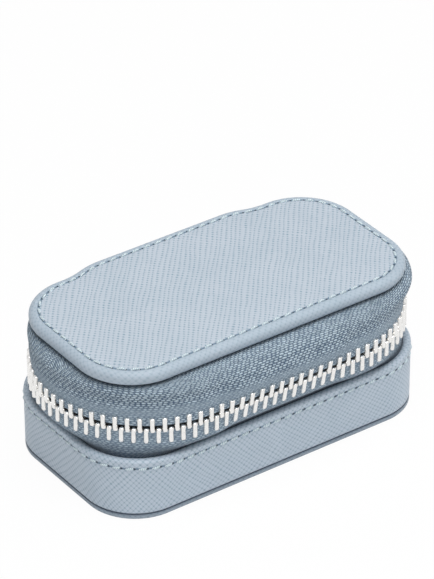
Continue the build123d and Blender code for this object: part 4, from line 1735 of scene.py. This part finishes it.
@dataclass
class Studio:
    """Floor, light and camera. The lamps are soft squares, each with its place, size and power."""

    azimuth: float = -35.7
    elevation: float = 33.55
    distance: float = 0.90866
    aim: float = 22.5 * MM
    focal_pixels: float = 3865.6
    picture: tuple[int, int] = (434, 579)
    shift_pixels: tuple[float, float] = (-1.91, 49.57)
    sensor: float = 36.0
    ambient: float = 0.32
    floor_glow: float = 0.96
    floor_drop: float = 0.02 * MM
    floor_reach: float = 3.0
    lamp_aim: float = 20 * MM
    lamps: tuple[tuple[str, Triple, float, float], ...] = (
        ("top_light", (0.0, -0.12, 0.9), 0.5, 5.6),
        ("front_light", (-0.5, -0.8, 0.5), 0.6, 2.1),
        ("side_light", (0.9, -0.3, 0.4), 0.5, 1.5),
    )

    def camera(self) -> None:
        """Makes the camera at the photograph's angle, its lens in parts of the picture's longer side."""
        turn, tilt = np.radians(self.azimuth), np.radians(self.elevation)
        back = Vector((np.sin(turn) * np.cos(tilt), -np.cos(turn) * np.cos(tilt), np.sin(tilt)))
        data = bpy.data.cameras.new("camera")
        data.sensor_width = self.sensor
        data.lens = self.focal_pixels / max(self.picture) * self.sensor
        data.shift_x, data.shift_y = (pixels / max(self.picture) for pixels in self.shift_pixels)
        data.clip_start, data.clip_end = 0.01, 20.0
        camera = bpy.data.objects.new("camera", data)
        camera.location = Vector((0, 0, self.aim)) + back * self.distance
        camera.rotation_euler = back.to_track_quat("Z", "Y").to_euler()
        bpy.context.scene.collection.objects.link(camera)
        bpy.context.scene.camera = camera

    def lamp(self, name: str, place: Triple, size: float, power: float) -> None:
        """Adds a square soft light that faces the box."""
        data = bpy.data.lights.new(name, "AREA")
        data.size, data.energy = size, power
        lamp = bpy.data.objects.new(name, data)
        lamp.location = place
        back = Vector(place) - Vector((0, 0, self.lamp_aim))
        lamp.rotation_euler = back.to_track_quat("Z", "Y").to_euler()
        bpy.context.scene.collection.objects.link(lamp)

    def world(self) -> None:
        """Sets an even pale surround that is plain white to the camera and in reflections."""
        graph = Graph("surround", world=True)
        strength = self.ambient + graph.looked_at() * (1 - self.ambient)
        bpy.context.scene.world = graph.end(graph.node("ShaderNodeBackground", None, {"Strength": strength}))

    def floor(self) -> None:
        """Makes the pale floor, which keeps a soft share of the box's shadow."""
        graph = Graph("pale_floor")
        matt = graph.node("ShaderNodeBsdfDiffuse", None, {"Color": (0.9, 0.9, 0.9)})
        glow = graph.node("ShaderNodeEmission", None, {"Color": (1.0, 1.0, 1.0), "Strength": 1.0})
        shaders = {0: graph.looked_at() * self.floor_glow, 1: matt.outputs[0], 2: glow.outputs[0]}
        pale = graph.end(graph.node("ShaderNodeMixShader", None, shaders))
        across = np.linspace(-self.floor_reach, self.floor_reach, 9)
        x, y = np.meshgrid(across, across, indexing="ij")
        points = np.stack([x, y, np.full_like(x, -self.floor_drop)], axis=-1)
        grid_piece("floor", points, points[..., :2], pale)

    def build(self) -> None:
        """Makes the whole setting."""
        bpy.context.scene.view_settings.view_transform = "Standard"
        self.camera()
        self.world()
        self.floor()
        for lamp in self.lamps:
            self.lamp(*lamp)


def finish_solids(finishes: Mapping[Material, Sequence[str]]) -> None:
    """Gives the solids that stay in view, or inside, their finish.

    Args:
        finishes: For each material, the names of the solids that wear it.
    """
    for material, names in finishes.items():
        for name in names:
            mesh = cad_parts[name].data
            mesh.materials.clear()
            mesh.materials.append(material)
            LOG.info("%s wears %s", name, material.name)


def main() -> None:
    """Builds the box piece by piece."""
    logging.basicConfig(level=logging.INFO, format="%(name)s: %(message)s")
    thread = ThreadFinish("sewing_thread").material()
    velvet = VelvetFinish("grey_blue_velvet").material()
    metal = MetalFinish("silver_teeth").material()
    # The first tone serves the grain's pits and the painted shade on the lid's lip; the second is painted
    # shade in the sewn groove.
    pits, seam = linear(124, 154, 172), linear(88, 116, 138)
    base, lid = Base(), Lid()
    lid_leather = LeatherFinish(
        "lid_cross_grain", linear(193, 203, 214), pits, seam, GrainMap.TOP, lid.seam
    ).material()
    wall_leather = LeatherFinish(
        "wall_cross_grain",
        linear(192, 204, 217),
        pits,
        seam,
        GrainMap.WALL,
        base.seam,
        pit_share=0.6,
        furrow_share=0.3,
        fold_shaded=True,
    ).material()
    panel_leather = LeatherFinish(
        "panel_cross_grain", linear(190, 202, 216), pits, seam, GrainMap.WALL
    ).material()
    under_leather = LeatherFinish(
        "bottom_edge", linear(150, 163, 176), linear(122, 140, 156), seam, GrainMap.WALL, fold_shaded=True
    ).material()
    base.build(wall_leather, under_leather, thread)
    lid.build(lid_leather, thread, velvet)
    upper_weave = TapeFinish("upper_tape", Weave.UPPER).material()
    lower_weave = TapeFinish("lower_tape", Weave.LOWER).material()
    hinge = Hinge()
    ZipBand().build(upper_weave, lower_weave, metal, hinge)
    hinge.build(panel_leather, thread)
    Tray().build(velvet)
    card = BoardFinish("grey_card", linear(186, 172, 150), linear(150, 138, 120), 2.0).material()
    foam = BoardFinish("pale_foam", linear(232, 228, 216), linear(205, 198, 182), 1.2).material()
    finish_solids(
        {
            velvet: ("tray_divider", "cross_divider"),
            MetalFinish("slider_metal", haze=0.16).material(): ("zip_slider", "pull_tab"),
            card: ("floor_board", "wall_board", "lid_board"),
            foam: ("lid_foam",),
        }
    )
    Studio().build()


if __name__ == "__main__":
    main()
